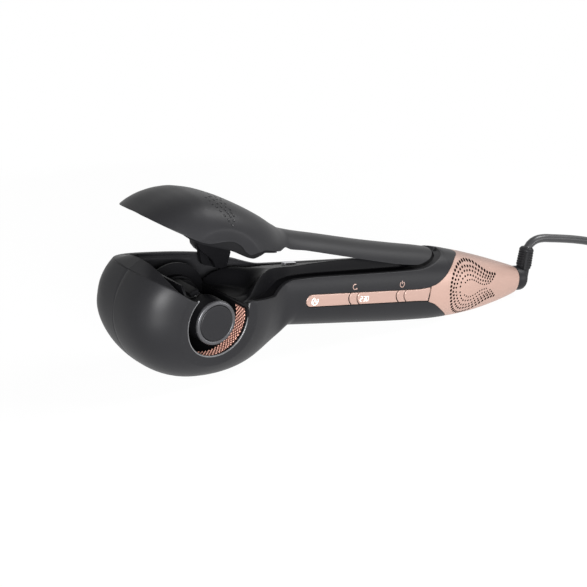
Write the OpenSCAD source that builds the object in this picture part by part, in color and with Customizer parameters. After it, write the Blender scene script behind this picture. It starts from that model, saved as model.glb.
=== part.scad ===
/* [Head] */
// Reach of the head in front of the barrel's axis
head_front = 46; // [44:1:50]
// Reach of the head behind the barrel's axis, seen from the side
head_rear = 64; // [60:1:68]
// Reach of the head behind the barrel's axis, seen from above
head_rear_plan = 57; // [54:1:60]
// Half height of the head
head_deep = 39; // [37:1:43]
// Height of the head's middle above the barrel's axis
head_mid = 3; // [2:0.5:4]
// Half width of the head
head_wide = 31.5; // [30.5:0.5:34]
// Wall of the casings and the rear cover
wall = 2.4; // [2:0.1:2.8]

/* [Handle] */
// Half width of the handle
handle_wide = 18.2; // [17.6:0.2:20]
// Distance from the barrel's axis to the end of the rear cover
handle_end = 235.7; // [232:1:260]
// Gap at the rear cover's edge
cover_gap = 0.15; // [0.1:0.05:0.3]

/* [Lid] */
// Wall of the lid
lid_wall = 1.8; // [1.5:0.1:2]
// How far the lid stands open, in degrees from the shape drawn here
lid_open = 9; // [7:0.5:10]
// Distance of the lid's hinge behind the barrel's axis
hinge_x = 150; // [148:0.5:152]
// Height of the lid's hinge above the barrel's axis
hinge_z = 26.4; // [26:0.2:26.8]
// Diameter of the hinge pin
hinge_pin_d = 2.4; // [2:0.1:2.6]
// Running clearance around the hinge pin
hinge_fit = 0.05; // [0.03:0.01:0.1]

/* [Barrel and chamber] */
// Diameter of the heated barrel
barrel_d = 20; // [18:0.5:20.5]
// Diameter of the cool tip and of the metal ring on it
tip_d = 24; // [23:0.5:25]
// Diameter of the round side opening
mouth_d = 37.5; // [36.5:0.5:38]
// Inner diameter of the curling chamber
chamber_d = 38; // [37.5:0.5:39]
// Wall of the chamber
chamber_wall = 1.4; // [1.2:0.1:1.6]
// Front edge of the hair slot, in front of the barrel's axis
slot_front = 14; // [13:0.5:15]
// Rear edge of the hair slot, behind the barrel's axis
slot_rear = 17.4; // [17:0.1:17.6]

/* [Drive] */
// Gear module
gear_module = 0.5; // [0.5]
// Teeth on the rotor's gear
rotor_teeth = 60; // [60]
// Teeth on the idler gear
idler_teeth = 24; // [24]
// Teeth on the motor's pinion
pinion_teeth = 12; // [12]
// Face width of the gears
gear_width = 2.4; // [2:0.1:2.5]
// Running clearance of the rotor and the gears on their bearings
turn_fit = 0.05; // [0.03:0.01:0.1]
// Diameter of the motor
motor_d = 16; // [14:0.5:16]

/* [Buttons] */
// Travel of the two buttons
button_travel = 0.6; // [0.4:0.1:0.6]
// Gap around the buttons and between the strip's pieces
strip_gap = 0.15; // [0.1:0.05:0.25]
// Depth of the recess that holds the strip
strip_depth = 1.5; // [1.4:0.1:1.6]
// Height of the strip
strip_high = 7.8; // [7:0.2:8.4]

/* [Cord] */
// Diameter of the mains lead
cord_d = 5.1; // [4.8:0.1:5.2]
// Turns in each of the coil's four layers
coil_turns = 2.25; // [2.25]
// Radius of the coil's outermost turn
coil_r = 34; // [33.5:0.1:36]
// Diameter of the cord swivel's collar
collar_d = 15; // [14.5:0.1:15.4]

/* [Hidden] */

charcoal = [0.22, 0.22, 0.23];
black = [0.06, 0.06, 0.07];
copper = [0.86, 0.66, 0.57];
steel = [0.7, 0.7, 0.72];
green = [0.1, 0.35, 0.22];
near = -1;
far = 1;
eps = 0.01;
round_fn = 64;
small_fn = 32;

// Outlines of the handle: distance behind the barrel's axis, then size or height
tail = handle_end - 235.7;
end_wide = 8.2;
handle_side = [
    [50, handle_wide], [150, handle_wide], [165 + tail, handle_wide - 0.2],
    [180 + tail, handle_wide - 1], [205 + tail, handle_wide - 3.8],
    [222 + tail, handle_wide - 7], [236 + tail, end_wide]
];
handle_bottom = [
    [50, -11.3], [100, -12.6], [150, -13.4], [165 + tail, -13.3], [180 + tail, -12.4],
    [196 + tail, -10.6], [216 + tail, -6.6], [230 + tail, -2.8], [236 + tail, -0.6]
];
handle_top = [
    [50, 28], [100, 29], [163, 29.4], [184 + tail, 26.8], [205 + tail, 22.8],
    [224 + tail, 18.4], [236 + tail, 15.4]
];
handle_mid = [[50, 7], [100, 8], [180 + tail, 8], [236 + tail, 7.4]];

// Upper edges of the casings, near and far side
near_lip = [
    [-46, 24.6], [-39.5, 22.4], [-30, 19.2], [-14, 12.2], [18.3, 10.5], [20.4, 11],
    [39.7, 10.7], [44.1, 13.4], [48.9, 15.6], [54.2, 17.3], [59.7, 17.9], [73, 18.6],
    [109, 19.3], [131, 19.8], [147, 20.8], [156, 23.6], [163, 26.8], [170, 30]
];
far_lip = [
    [-46, 24.6], [-39.5, 22.4], [-30, 22.2], [25, 22.2], [38, 20.5], [55, 18.2],
    [100, 18.7], [144, 20], [156, 23], [163, 26.8], [170, 30]
];

// Lower edges and crest of the lid, drawn closed
near_edge = [
    [-44, 23.6], [-41, 22.4], [-25, 19.3], [-16, 18], [-13, 18], [-8, 18.9], [-4.5, 19.9],
    [1.7, 20.9], [7.5, 19.6], [12.7, 16.4], [15.5, 15.5], [20, 17.3], [26, 18.9], [40, 18.4], [47, 20.2],
    [52, 19.4], [63, 20], [87, 20.3], [125, 20.9], [145, 21.5], [155, 24.2], [159.5, 27.5],
    [162, 31]
];
far_edge = [
    [-44, 23.6], [-41, 22.4], [-30, 22.8], [20, 23], [38, 21.6], [52, 19.6], [63, 20], [87, 20.3],
    [125, 20.9], [145, 21.5], [155, 24.2], [159.5, 27.5], [162, 31]
];
lid_crest = [
    [-42.6, 23.4], [-39.6, 26.2], [-35, 30.2], [-29, 34], [-22, 37], [-15, 38.7], [-6, 39.2],
    [4, 38.5], [14, 37], [29, 33.5], [43, 29.2], [52, 27.1], [60, 27], [80, 27.6],
    [109, 28.4], [133, 29.6], [156, 31], [162, 31.2]
];
lid_tip = -42.6;
lid_tail = 162;
lid_tuck = 1.2;

// Deck: floor along the lips, top of the ridge, far side, and the ridge's near side in plan
deck_floor = [
    [19, 7.8], [25, 8.6], [33, 9.4], [39, 10.2], [45, 13], [50.5, 16], [62, 17.2], [82, 18],
    [98, 18.4], [125, 19], [146, 20], [154, 22], [162, 25.6], [169, 28.4]
];
ridge_top = [
    [19, 8.2], [25, 10], [31.5, 18], [38, 22.3], [47, 22.9], [61, 22.3], [76, 23.4], [99, 25],
    [122, 25.4], [138, 22.5], [144, 20.4], [154, 22.2], [162, 25.8], [169, 28.6]
];
deck_far = [
    [19, 11], [25, 15], [39, 16.9], [43, 16.4], [60, 17.2], [100, 17.8], [146, 19.8],
    [154, 22], [162, 25.6], [169, 28.4]
];
ridge_near = [
    [19, -22], [25, -19.5], [31, -16.5], [38, -12.8], [47, -9], [61, -5.6], [76, -4.6], [169, -4]
];
deck_end = 167;
deck_wall = 2;

// Round of the head's outlines
near_round = 3.2;
far_round = 4;
low_round = 2.5;
high_round = 3;
handle_round = 2.3;
plan_blend = 5;
bottom_blend = 4;
top_blend = 6;
blend_from = 20;
blend_to = 60;

// Smooth curve through [place, value] pairs that never overshoots them
function seg(x, t, i = 0) = i >= len(t) - 2 || x < t[i + 1][0] ? i : seg(x, t, i + 1);
function slope(t, i) = (t[i + 1][1] - t[i][1]) / (t[i + 1][0] - t[i][0]);
function tangent(t, i) =
    i <= 0 ? slope(t, 0) : i >= len(t) - 1 ? slope(t, len(t) - 2) :
    let (a = slope(t, i - 1), b = slope(t, i)) a * b <= 0 ? 0 : 2 * a * b / (a + b);
function curve(x, t) =
    let (
        i = seg(x, t),
        h = t[i + 1][0] - t[i][0],
        u = min(max((x - t[i][0]) / h, 0), 1)
    )
    (2 * u * u * u - 3 * u * u + 1) * t[i][1] + (u * u * u - 2 * u * u + u) * h * tangent(t, i)
    + (3 * u * u - 2 * u * u * u) * t[i + 1][1] + (u * u * u - u * u) * h * tangent(t, i + 1);
function mix(a, b, k) = a + (b - a) * k;
function ease(x, a, b) = let (u = min(max((x - a) / (b - a), 0), 1)) u * u * (3 - 2 * u);
function smooth_max(a, b, r) = let (h = max(r - abs(a - b), 0) / r) max(a, b) + h * h * r / 4;
function bulge(x, a, n) = pow(max(1 - pow(min(abs(x) / a, 1), n), 0), 1 / n);

// Body envelope, t inside its surface
function half_width(x, side, t = 0) =
    let (
        reach = (x < 0 ? head_front : head_rear_plan) - t,
        n = x >= 0 ? 2 : side < 0 ? near_round : far_round,
        head = (head_wide - t) * bulge(x, reach, n)
    )
    x < blend_from ? head : smooth_max(head, curve(x, handle_side) - t, plan_blend);
function head_half(x, t) = (head_deep - t) * bulge(x, (x < 0 ? head_front : head_rear) - t, 2);
function mid_z(x) = mix(head_mid, curve(x, handle_mid), ease(x, 10, blend_to));
function bottom_z(x, t = 0) =
    let (head = head_half(x, t) - head_mid)
    -(x < blend_from ? head : smooth_max(head, -curve(x, handle_bottom) - t, bottom_blend));
function top_z(x, t = 0) =
    let (head = head_mid + head_half(x, t))
    x < blend_from ? head : smooth_max(head, curve(x, handle_top) - t, top_blend);
function low_n(x) = mix(low_round, handle_round, ease(x, blend_from, blend_to));
function high_n(x) = mix(high_round, handle_round, ease(x, blend_from, blend_to));
function side_y(x, z, side, t = 0) =
    let (
        m = mid_z(x),
        n = z < m ? low_n(x) : high_n(x),
        h = z < m ? m - bottom_z(x, t) : top_z(x, t) - m
    )
    side * half_width(x, side, t) * bulge(z - m, h, n);
function shell_point(x, a, side, t) =
    let (
        m = mid_z(x),
        n = a < 0 ? low_n(x) : high_n(x),
        h = a < 0 ? m - bottom_z(x, t) : top_z(x, t) - m
    )
    [x, side * half_width(x, side, t) * pow(abs(cos(a)), 2 / n),
        m + h * sign(sin(a)) * pow(abs(sin(a)), 2 / n)];
function lip_angle(x, z, t) =
    let (m = mid_z(x), h = top_z(x, t) - m, k = min(max((z - m) / max(h, eps), 0), 1))
    asin(pow(k, high_n(x) / 2));

// Closed skin between two grids of points with the same rows and columns
function quad(a, b, c, d) = [[a, b, c], [a, c, d]];
function skin_faces(rows, cols) =
    let (n = rows * cols)
    concat(
        [for (i = [0:rows - 2], j = [0:cols - 2])
            each quad(i * cols + j, i * cols + j + 1, (i + 1) * cols + j + 1, (i + 1) * cols + j)],
        [for (i = [0:rows - 2], j = [0:cols - 2])
            each quad(n + i * cols + j, n + (i + 1) * cols + j,
                n + (i + 1) * cols + j + 1, n + i * cols + j + 1)],
        [for (i = [0:rows - 2])
            each quad(i * cols, (i + 1) * cols, n + (i + 1) * cols, n + i * cols)],
        [for (i = [0:rows - 2])
            each quad(i * cols + cols - 1, n + i * cols + cols - 1,
                n + (i + 1) * cols + cols - 1, (i + 1) * cols + cols - 1)],
        [for (j = [0:cols - 2]) each quad(j, n + j, n + j + 1, j + 1)],
        [for (j = [0:cols - 2])
            each quad((rows - 1) * cols + j, (rows - 1) * cols + j + 1,
                n + (rows - 1) * cols + j + 1, n + (rows - 1) * cols + j)]
    );
function turned(faces) = [for (f = faces) [f[2], f[1], f[0]]];
module skin(outer, inner, flip = false) {
    faces = skin_faces(len(outer), len(outer[0]));
    polyhedron(
        concat([for (row = outer) each row], [for (row = inner) each row]),
        flip ? faces : turned(faces),
        convexity = 8
    );
}

// How the waver lies: it rests on the head's belly and on the rear of the handle
head_touch = 14;
tail_touch = handle_end - 57.7;
flat_depth = 0.7;
rest_tilt = atan((bottom_z(tail_touch) - bottom_z(head_touch)) / (tail_touch - head_touch));
rest_drop = head_touch * sin(rest_tilt) - bottom_z(head_touch) * cos(rest_tilt) - flat_depth;
nose_x = head_mid * sin(rest_tilt)
    - sqrt(pow(head_front * cos(rest_tilt), 2) + pow(head_deep * sin(rest_tilt), 2));
boot_reach = 13;
end_x = (handle_end + boot_reach) * cos(rest_tilt) + 25.4 * sin(rest_tilt);
rest_shift = -(nose_x + end_x) / 2;
function lie(p) = [
    p[0] * cos(rest_tilt) + p[2] * sin(rest_tilt) + rest_shift,
    p[1],
    p[2] * cos(rest_tilt) - p[0] * sin(rest_tilt) + rest_drop
];
module lying() translate([rest_shift, 0, rest_drop]) rotate([0, rest_tilt, 0]) children();
module floor_cut() translate([-300, -60, -40]) cube([600, 120, 40]);
module opened() lying()
    translate([hinge_x, 0, hinge_z]) rotate([0, lid_open, 0]) translate([-hinge_x, 0, -hinge_z])
    children();

// Flat shape drawn in the plane of the side view, given depth from y0 to y1
module side_shape(y0, y1) translate([0, y1, 0]) rotate([90, 0, 0]) linear_extrude(y1 - y0) children();
module across(r, y0, y1, fn = round_fn)
    translate([0, y1, 0]) rotate([90, 0, 0]) cylinder(h = y1 - y0, r = r, $fn = fn);

// Edge of the rear cover in the side view
cover_edge = [
    [184, 40], [184, 27.5], [177.2, 25.6], [173.3, 23.5], [169.7, 20.4], [165, 16.3],
    [158.6, 12.1], [154.7, 10.9], [154.7, 1.7], [159, 0.3], [162.6, -1.5], [168, -4.7],
    [175.2, -9], [182, -14], [182, -40]
];
module cover_side(gap) side_shape(-40, 40)
    polygon(concat([for (p = cover_edge) p + [tail + gap, 0]], [[300 + tail, -40], [300 + tail, 40]]));

// Casings
front_rows = 14;
casing_end = 187 + tail;
function casing_x(i, t) = -(head_front - t) * cos(90 * i / front_rows + 0.8);
function casing_rows() = concat(
    [for (x = [1:3.2:66]) x], [for (x = [71:6:137]) x], [for (x = [140:3:170]) x],
    [for (x = [175:6:casing_end]) x + tail * (x - 170) / (casing_end - 170)]
);
casing_cols = 12;
function casing_row(x, lip, side, t) =
    let (a = lip_angle(x, curve(x, lip), t))
    [for (j = [0:casing_cols - 1]) shell_point(x, mix(a, -90, j / (casing_cols - 1)), side, t)];
function casing_grid(lip, side, t) = concat(
    [for (i = [0:front_rows - 1]) casing_row(casing_x(i, t), lip, side, t)],
    [for (x = casing_rows()) casing_row(x, lip, side, t)]
);
module casing_skin(lip, side)
    skin(casing_grid(lip, side, 0), casing_grid(lip, side, wall), side > 0);

// Dished rim and round opening in the near side
dish_d = mouth_d + 9.4;
dish_depth = 1.8;
module mouth_cut() {
    translate([0, -head_wide + dish_depth, 0]) rotate([90, 0, 0])
        cylinder(h = dish_depth + 0.2, r1 = mouth_d / 2, r2 = dish_d / 2, $fn = 96);
    across(mouth_d / 2, -head_wide - 5, -20, 96);
    translate([-slot_front, -head_wide - 5, 0]) cube([slot_front + mouth_d / 2 - 0.45, 20, 40]);
}

// Screws that join the casings, as [x, z]
screw_places = [[-30, -9], [44, -14], [90, -6], [148, -7]];
screw_d = 2.4;
boss_d = 6;
screw_deep = 8;
module boss(x, z, side) {
    reach = abs(side_y(x, z, side, wall / 2)) - 1.2;
    translate([x, side > 0 ? reach : 0, z]) rotate([90, 0, 0])
        cylinder(h = reach, d = boss_d, $fn = small_fn);
}

// Strip and buttons
strip_x = [64.9, 94.9, 100.7, 129.4, 135.2, 154.7 + tail];
strip_z = 2.1;
strip_lean = 2.8;
function lean(z) = strip_lean * (strip_z + strip_high - z) / strip_high;
function side_floor(x, t) = -(handle_wide_at(x) - t);
function handle_wide_at(x) = half_width(x, near);
// Plan band between two depths under the near side's surface
module plan_band(x0, x1, t0, t1, z0, z1) {
    step = (x1 - x0) / 12;
    translate([0, 0, z0]) linear_extrude(z1 - z0) polygon(concat(
        [for (i = [0:12]) [x0 + i * step, side_floor(x0 + i * step, t0)]],
        [for (i = [12:-1:0]) [x0 + i * step, side_floor(x0 + i * step, t1)]]
    ));
}
module strip_outline(x0, x1, grow) {
    r = strip_high / 2 + grow;
    polygon(concat(
        [for (a = [90:7.5:270]) [x0 - grow + r + r * cos(a), button_z + r * sin(a)]],
        [[x1 + grow, strip_z - grow], [x1 + grow, strip_z + strip_high + grow]]
    ));
}
module strip_recess() {
    intersection() {
        plan_band(strip_x[0] - 1, strip_x[5] + 3, -3, strip_depth, 0, strip_z + strip_high + 2);
        side_shape(-40, 0) strip_outline(strip_x[0], strip_x[5] + 2, 0);
    }
    for (x = button_x) translate([x, 0, button_z]) across(stem_d / 2 + 0.15, -40, -10, small_fn);
}
button_x = [for (k = [1, 3]) (strip_x[k] + strip_x[k + 1]) / 2 + strip_lean / 2];
button_z = strip_z + strip_high / 2;
stem_d = 3;
cap_wall = 0.75;
// Piece of the strip whose face follows the handle
module strip_piece(x0, x1, back, front_round = false) {
    cols = 4;
    rows = max(3, ceil((x1 - x0) / 6));
    z1 = strip_z + strip_high - strip_gap;
    z0 = strip_z + strip_gap;
    function at(i, j) =
        let (z = mix(z1, z0, j / cols), x = mix(x0 + strip_gap, x1 - strip_gap, i / rows))
        [x + lean(z) * (x1 > 150 ? 1 - i / rows : 1) * (front_round ? i / rows : 1), z];
    intersection() {
        skin(
            [for (i = [0:rows]) [for (j = [0:cols])
                let (p = at(i, j)) [p[0], side_y(p[0], p[1], near, 0.05), p[1]]]],
            [for (i = [0:rows]) [for (j = [0:cols]) let (p = at(i, j)) [p[0], side_floor(p[0], back), p[1]]]]
        );
        if (front_round) side_shape(-40, 0) strip_outline(x0, x1 + 5, -strip_gap);
    }
}
module button(k) {
    strip_piece(strip_x[k], strip_x[k + 1], cap_wall);
    translate([(strip_x[k] + strip_x[k + 1]) / 2 + strip_lean / 2, 0, button_z])
        across(stem_d / 2, side_floor(button_mid(k), cap_wall / 2), stem_end, small_fn);
}
function button_mid(k) = (strip_x[k] + strip_x[k + 1]) / 2;
stem_end = -handle_wide + wall + 0.6;

module near_casing() color(charcoal) difference() {
    lying() difference() {
        union() {
            casing_skin(near_lip, near);
            for (p = screw_places) boss(p[0], p[1], near);
        }
        cover_side(0);
        mouth_cut();
        chamber_seat();
        strip_recess();
        for (p = screw_places) translate([p[0], 0, p[1]]) across(screw_d / 2, -screw_deep, 1, small_fn);
    }
    floor_cut();
}
module far_casing() color(charcoal) difference() {
    lying() difference() {
        union() {
            casing_skin(far_lip, far);
            for (p = screw_places) boss(p[0], p[1], far);
            for (p = plate_posts) translate([p[0], 0, p[1]])
                across(
                    plate_post_d / 2, plate_y + plate_thick,
                    side_y(p[0], p[1], far, wall / 2) - 0.6, small_fn
                );
        }
        cover_side(0);
        for (p = screw_places) {
            translate([p[0], 0, p[1]]) across(screw_d / 2 + 0.1, -1, 40, small_fn);
            translate([p[0], 0, p[1]]) across(screw_head_d / 2 + 0.2, screw_seat, 40, small_fn);
        }
    }
    floor_cut();
}
screw_head_d = 4.4;
screw_seat = 9;
screw_head = 1.8;
module casing_screws() color(steel) lying() for (p = screw_places) translate([p[0], 0, p[1]]) {
    across(screw_d / 2, -screw_deep + 0.4, screw_seat + eps, small_fn);
    across(screw_head_d / 2, screw_seat, screw_seat + screw_head, small_fn);
}

// Sloped rim inside the nose, from the casings' lips up to the mouth's edge
rim_drop = 1.6;
rim_inner = [
    [-22.7, -25, 15.6], [-27, -23, 19.8], [-30, -19.5, 23], [-32, -13, 26], [-32.8, -6, 27.4],
    [-33, 0, 27.7],
    [-32.8, 6, 27.4], [-32, 12.5, 26.4], [-30.4, 17, 25], [-28.4, 20.5, 23.8], [-26.2, 22.6, 22.9]
];
rim_reach = [0.57, 0.7, 0.83, 0.92, 0.975, 1, 0.975, 0.92, 0.85, 0.78, 0.71];
rim_inset = wall + 0.1;
rim_nose = -(head_front - rim_inset)
    * sqrt(1 - pow((curve(-37, near_lip) - head_mid) / (head_deep - rim_inset), 2));
function rim_outer(i) =
    let (x = rim_nose * rim_reach[i], side = i <= 5 ? near : far, z = curve(x, side < 0 ? near_lip : far_lip))
    [x, i == 5 ? 0 : side_y(x, z, side, rim_inset), z - 0.1];
module mouth_rim() color(charcoal) lying() skin(
    [for (i = [0:10]) [rim_outer(i), rim_inner[i]]],
    [for (i = [0:10]) [rim_outer(i) - [0, 0, rim_drop], rim_inner[i] - [0, 0, rim_drop]]]
);

web = 1.2;
// The plate lies inside the far casing, and the drive and the chamber's far wall keep in step with it
plate_y = head_wide - 11.1;
plate_thick = 1.2;
gear_y = plate_y - gear_width - 0.5;
chamber_far = gear_y - 1.3;
barrel_far = chamber_far - web;

// Deck behind the hair slot, with the scoop for the hair and the ridge under the lid's arm
guide_y = chamber_far + 0.4;
scoop_z = 8.4;
function deck_far_y(x) =
    let (m = mid_z(x), share = bulge(curve(x, deck_far) - m, top_z(x, wall) - m, high_n(x)))
    mix(guide_y - 0.5, half_width(x, far, wall) * share - 0.3, ease(x, 43, 50));
function deck_near_y(x) =
    let (z = curve(x, deck_floor)) side_y(x, z, near, wall) + 0.3;
function scoop(x, y) = ease(norm([(x - 20) / 28, y / 20]), 0.45, 0.95);
function deck_z(x, y) =
    let (w = curve(x, ridge_near), k = min(max((y - w) / (guide_y - 0.6 - w), 0), 1))
    y < w ? curve(x, deck_floor)
          : mix(scoop_z, mix(curve(x, ridge_top), curve(x, deck_far), k), x > 50 ? 1 : scoop(x, y));
deck_start = slot_rear + chamber_wall + 0.3;
function deck_rows() = concat(
    [for (x = [deck_start:2.6:52]) x], [for (x = [56:7:128]) x],
    [for (k = [0:10]) mix(131, deck_end, k / 10)]
);
function deck_cols(x) =
    let (a = deck_near_y(x), w = max(curve(x, ridge_near), a + 1), b = deck_far_y(x))
    concat([a, w - 0.3], [for (j = [0:9]) mix(w, b, j / 9)]);
module deck() color(black) lying() {
    grid = [for (x = deck_rows()) [for (y = deck_cols(x)) [x, y, deck_z(x, y)]]];
    difference() {
        skin(grid, [for (row = grid) [for (p = row) p - [0, 0, deck_wall]]], true);
        translate([pin_x, pin_y, 0]) linear_extrude(40) oval(pin_long + 0.4, pin_wide + 0.4);
    }
}

// Bright plunger in the deck that the closing lid presses
pin_x = 68;
pin_y = 6;
pin_long = 9;
pin_wide = 3.6;
pin_high = 5;
pin_top = deck_z(pin_x, pin_y) + 1.4;
pin_travel = 1.2;
module oval(long, wide) {
    circle(d = wide, $fn = small_fn);
    for (s = [-1, 1]) translate([s * (long - wide) / 2, 0]) circle(d = wide, $fn = small_fn);
    square([long - wide, wide], center = true);
}
module lid_pin() color(steel) lying()
    translate([pin_x, pin_y, pin_top - pin_high]) linear_extrude(pin_high) oval(pin_long, pin_wide);
module pin_switch() color(black) lying()
    translate([pin_x - 3, board_near + board_thick, pin_top - pin_high - pin_travel - 8.2]) cube([6, 4.9, 8]);

// Lid
lid_rows = concat(
    [for (d = [0, 0.4, 1.2, 2.5, 4.4]) lid_tip + d], [for (x = [-36:3:18]) x], [for (x = [20:3.4:54]) x],
    [for (x = [60:9:132]) x], [for (x = [138:3:lid_tail]) x]
);
lid_cols = 10;
function lid_width(x, side, t) = half_width(x, side) - lid_tuck * ease(x, 20, 60) - t;
function lid_half(x, side, t, drop) =
    let (
        edge = curve(x, side < 0 ? near_edge : far_edge) - drop,
        high = max(curve(x, near_edge), curve(x, far_edge)),
        top = max(curve(x, lid_crest) - t, high + (t > 0 ? 0.05 : 0.2)),
        m = mid_z(x),
        n = high_n(x),
        a = asin(pow(min((edge - m) / (top - m), 1), n / 2))
    )
    [for (j = [0:lid_cols])
        let (b = mix(a, 90, j / lid_cols))
        [x, side * lid_width(x, side, t) * pow(abs(cos(b)), 2 / n),
            m + (top - m) * pow(sin(b), 2 / n)]];
function lid_row(x, t, drop = 0) =
    let (a = lid_half(x, near, t, drop), b = lid_half(x, far, t, drop))
    concat(a, [for (j = [lid_cols - 1:-1:0]) b[j]]);
// Height of the lid's inside above a point, t under its outer surface
function lid_under(x, y, t) =
    let (m = mid_z(x), n = high_n(x), side = y < 0 ? near : far)
    m + (curve(x, lid_crest) - t - m) * bulge(y, lid_width(x, side, t), n);
cheek_in = 7.8;
cheek_out = 9.2;
module lid_shell() color(charcoal) opened() difference() {
    union() {
        skin([for (x = lid_rows) lid_row(x, 0)], [for (x = lid_rows) lid_row(x, lid_wall)], true);
        for (s = [-1, 1]) intersection() {
            translate([hinge_x, s > 0 ? cheek_out : -cheek_in, hinge_z]) rotate([90, 0, 0])
                cylinder(h = cheek_out - cheek_in, r = 2.6, $fn = small_fn);
            translate([hinge_x - 10, -20, 10]) cube([20, 40, hinge_z - 10 + 1.2]);
        }
    }
    translate([hinge_x, 0, hinge_z]) across(hinge_pin_d / 2, -cheek_out, cheek_out, small_fn);
}
// Black inner skin of the lid
liner_rows = [for (x = [-23:3:40]) x];
liner_gap = 0.25;
liner_wall = 1.1;
liner_drop = 1.2;
module lid_liner() color(black) opened() skin(
    [for (x = liner_rows) lid_row(x, lid_wall + liner_gap, liner_drop)],
    [for (x = liner_rows) lid_row(x, lid_wall + liner_gap + liner_wall, liner_drop)],
    true
);

// Guide that hangs from the lid and moves behind the deck's far edge
guide_front = [[11.5, 10], [14.5, 7], [17.7, 4.7], [23.4, 2.4], [26.6, 0.9], [28.7, -1.3], [30, -3]];
guide_rear = [[42, -3], [41.6, -0.8], [39.8, 2.7], [37.8, 5.2], [36, 8.5], [35, 14]];
guide_far = 25;
guide_rows = [for (x = [9:4:37]) x];
function guide_far_y(x) = min(max(half_width(x, far, wall + 1.8), guide_y + 1.2), guide_far);
function guide_grid(low) = [for (x = guide_rows) [for (k = [0:4])
    let (y = mix(guide_y, guide_far_y(x), k / 4))
    [x, y, low ? -8 : lid_under(x, y, lid_wall + liner_gap + liner_wall + 0.1)]]];
module hair_guide() color(black) opened() intersection() {
    skin(guide_grid(false), guide_grid(true), true);
    difference() {
        side_shape(guide_y, guide_far)
            polygon(concat([[11, 40]], guide_front, guide_rear, [[34, 40]]));
        across(rotor_teeth * gear_module / 2 + 1.2, 0, 40);
    }
}
// Rubber stop at the rear of the lid, and the post that presses the pin in the last degree
lid_closed = 0.3;
post_z = pin_top - pin_travel + 0.05 - (hinge_x - pin_x) * sin(lid_closed);
module lid_bumper() color(black) opened() {
    translate([142, -3, lid_under(142, 3, lid_wall) - 2.2]) cube([3, 6, 2]);
    translate([pin_x - 1.5, pin_y - 1.5, post_z])
        cube([3, 3, lid_under(pin_x, pin_y + 1.5, lid_wall) - post_z - 0.2]);
}

module hinge_pin() color(steel) opened()
    translate([hinge_x, 0, hinge_z]) across(hinge_pin_d / 2, -cheek_out, cheek_out, small_fn);
ear_in = 2.5;
ear_out = 4.5;
ear_r = 2;
foot_gap = 0.15;
// Two ears whose feet follow the deck
module hinge_bracket() color(black) lying() difference() {
    for (y = [-ear_out, ear_in]) side_shape(y, y + ear_out - ear_in) {
        translate([hinge_x, hinge_z]) circle(ear_r, $fn = small_fn);
        polygon(concat(
            [for (k = [-4:4]) let (x = hinge_x + ear_r * k / 4) [x, deck_z(x, 0) + foot_gap]],
            [[hinge_x + ear_r, hinge_z], [hinge_x - ear_r, hinge_z]]
        ));
    }
    translate([hinge_x, 0, hinge_z]) across(hinge_pin_d / 2 + hinge_fit, -20, 20, small_fn);
}
module lid_spring() color(steel) lying() difference() {
    translate([hinge_x, 0, hinge_z]) across(hinge_pin_d / 2 + 1, -ear_in, ear_in, small_fn);
    translate([hinge_x, 0, hinge_z]) across(hinge_pin_d / 2 + 0.4, -5, 5, small_fn);
}

// Barrel, cool tip and what holds them
barrel_near = -14;
tip_face = -28;
stem_d1 = 14;
bush_d = 17;
barrel_wall = 1.8;
module barrel_tube() color(steel) lying() difference() {
    across(barrel_d / 2, barrel_near, barrel_far);
    across(barrel_d / 2 - barrel_wall, barrel_near - 1, barrel_far + 1);
}
module barrel_stem() color(steel) lying() {
    across(barrel_d / 2 - barrel_wall, barrel_far - 6, barrel_far);
    across(stem_d1 / 2, barrel_far - eps, plate_y);
}
module ceramic_heater() color("white") lying()
    translate([-5, barrel_near + 3, -2]) cube([10, barrel_far - barrel_near - 10, 4]);
module cool_tip() color(black) lying() {
    across(tip_d / 2, tip_face + 1, barrel_near);
    across(barrel_d / 2 - barrel_wall, barrel_near - eps, barrel_near + 2.5);
}
module tip_ring() color(steel) lying() difference() {
    across(tip_d / 2, tip_face, tip_face + 1);
    across(tip_d / 2 - 2.1, tip_face - 1, tip_face + 2);
}
module tip_disc() color(charcoal) lying() across(tip_d / 2 - 2.2, tip_face - 0.3, tip_face + 1);

// Chamber around the barrel: ring wall, front wall and the slot's rear wall
chamber_near = -28.4;
// Front of the chamber follows the casing: as [y, z], from its floor up to its sloped front corner
chamber_front = [[-25.9, -21], [chamber_near, 8], [-25.2, 14.9], [-20, 19]];
module chamber_reach(grow) translate([-30, 0, 0]) rotate([90, 0, 90]) linear_extrude(60) polygon(concat(
    [for (p = chamber_front) p - [grow, 0]], [[30, 19], [30, -21 - grow]], [[-25.9 - grow, -21 - grow]]
));
chamber_top = 19;
rear_top = 8;
hub_d = 26.4;
module chamber_outline(far_wall = false) {
    r = chamber_d / 2;
    circle(r + chamber_wall, $fn = 96);
    translate([-r - chamber_wall, 0]) square([r + slot_rear + 2 * chamber_wall, rear_top]);
    translate([-r - chamber_wall, 0]) square([chamber_wall + (far_wall ? r + 8 : 0), chamber_top]);
}
module chamber_section(far_wall) {
    r = chamber_d / 2;
    difference() {
        chamber_outline(far_wall);
        if (far_wall) circle(d = hub_d, $fn = round_fn);
        else union() {
            circle(r, $fn = 96);
            translate([-r, 0]) square([r + slot_rear, 60]);
        }
    }
}
module chamber() color(black) lying() {
    intersection() {
        side_shape(chamber_near - 1, chamber_far - web + eps) chamber_section(false);
        chamber_reach(0);
    }
    side_shape(chamber_far - web, chamber_far) chamber_section(true);
}
// Pocket in the near casing that takes the chamber's front
module chamber_seat() intersection() {
    side_shape(-40, -15) offset(delta = 0.05) chamber_outline();
    chamber_reach(0.05);
}
lattice_far = -19;
module chamber_liner() color(copper) lying() intersection() {
    translate([0, lattice_far, 0]) rotate([90, 0, 0]) rotate([0, 0, -114])
        rotate_extrude(angle = 136, $fn = 96)
        translate([chamber_d / 2 - 1, 0]) square([0.95, 14]);
    chamber_reach(0);
}

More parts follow.
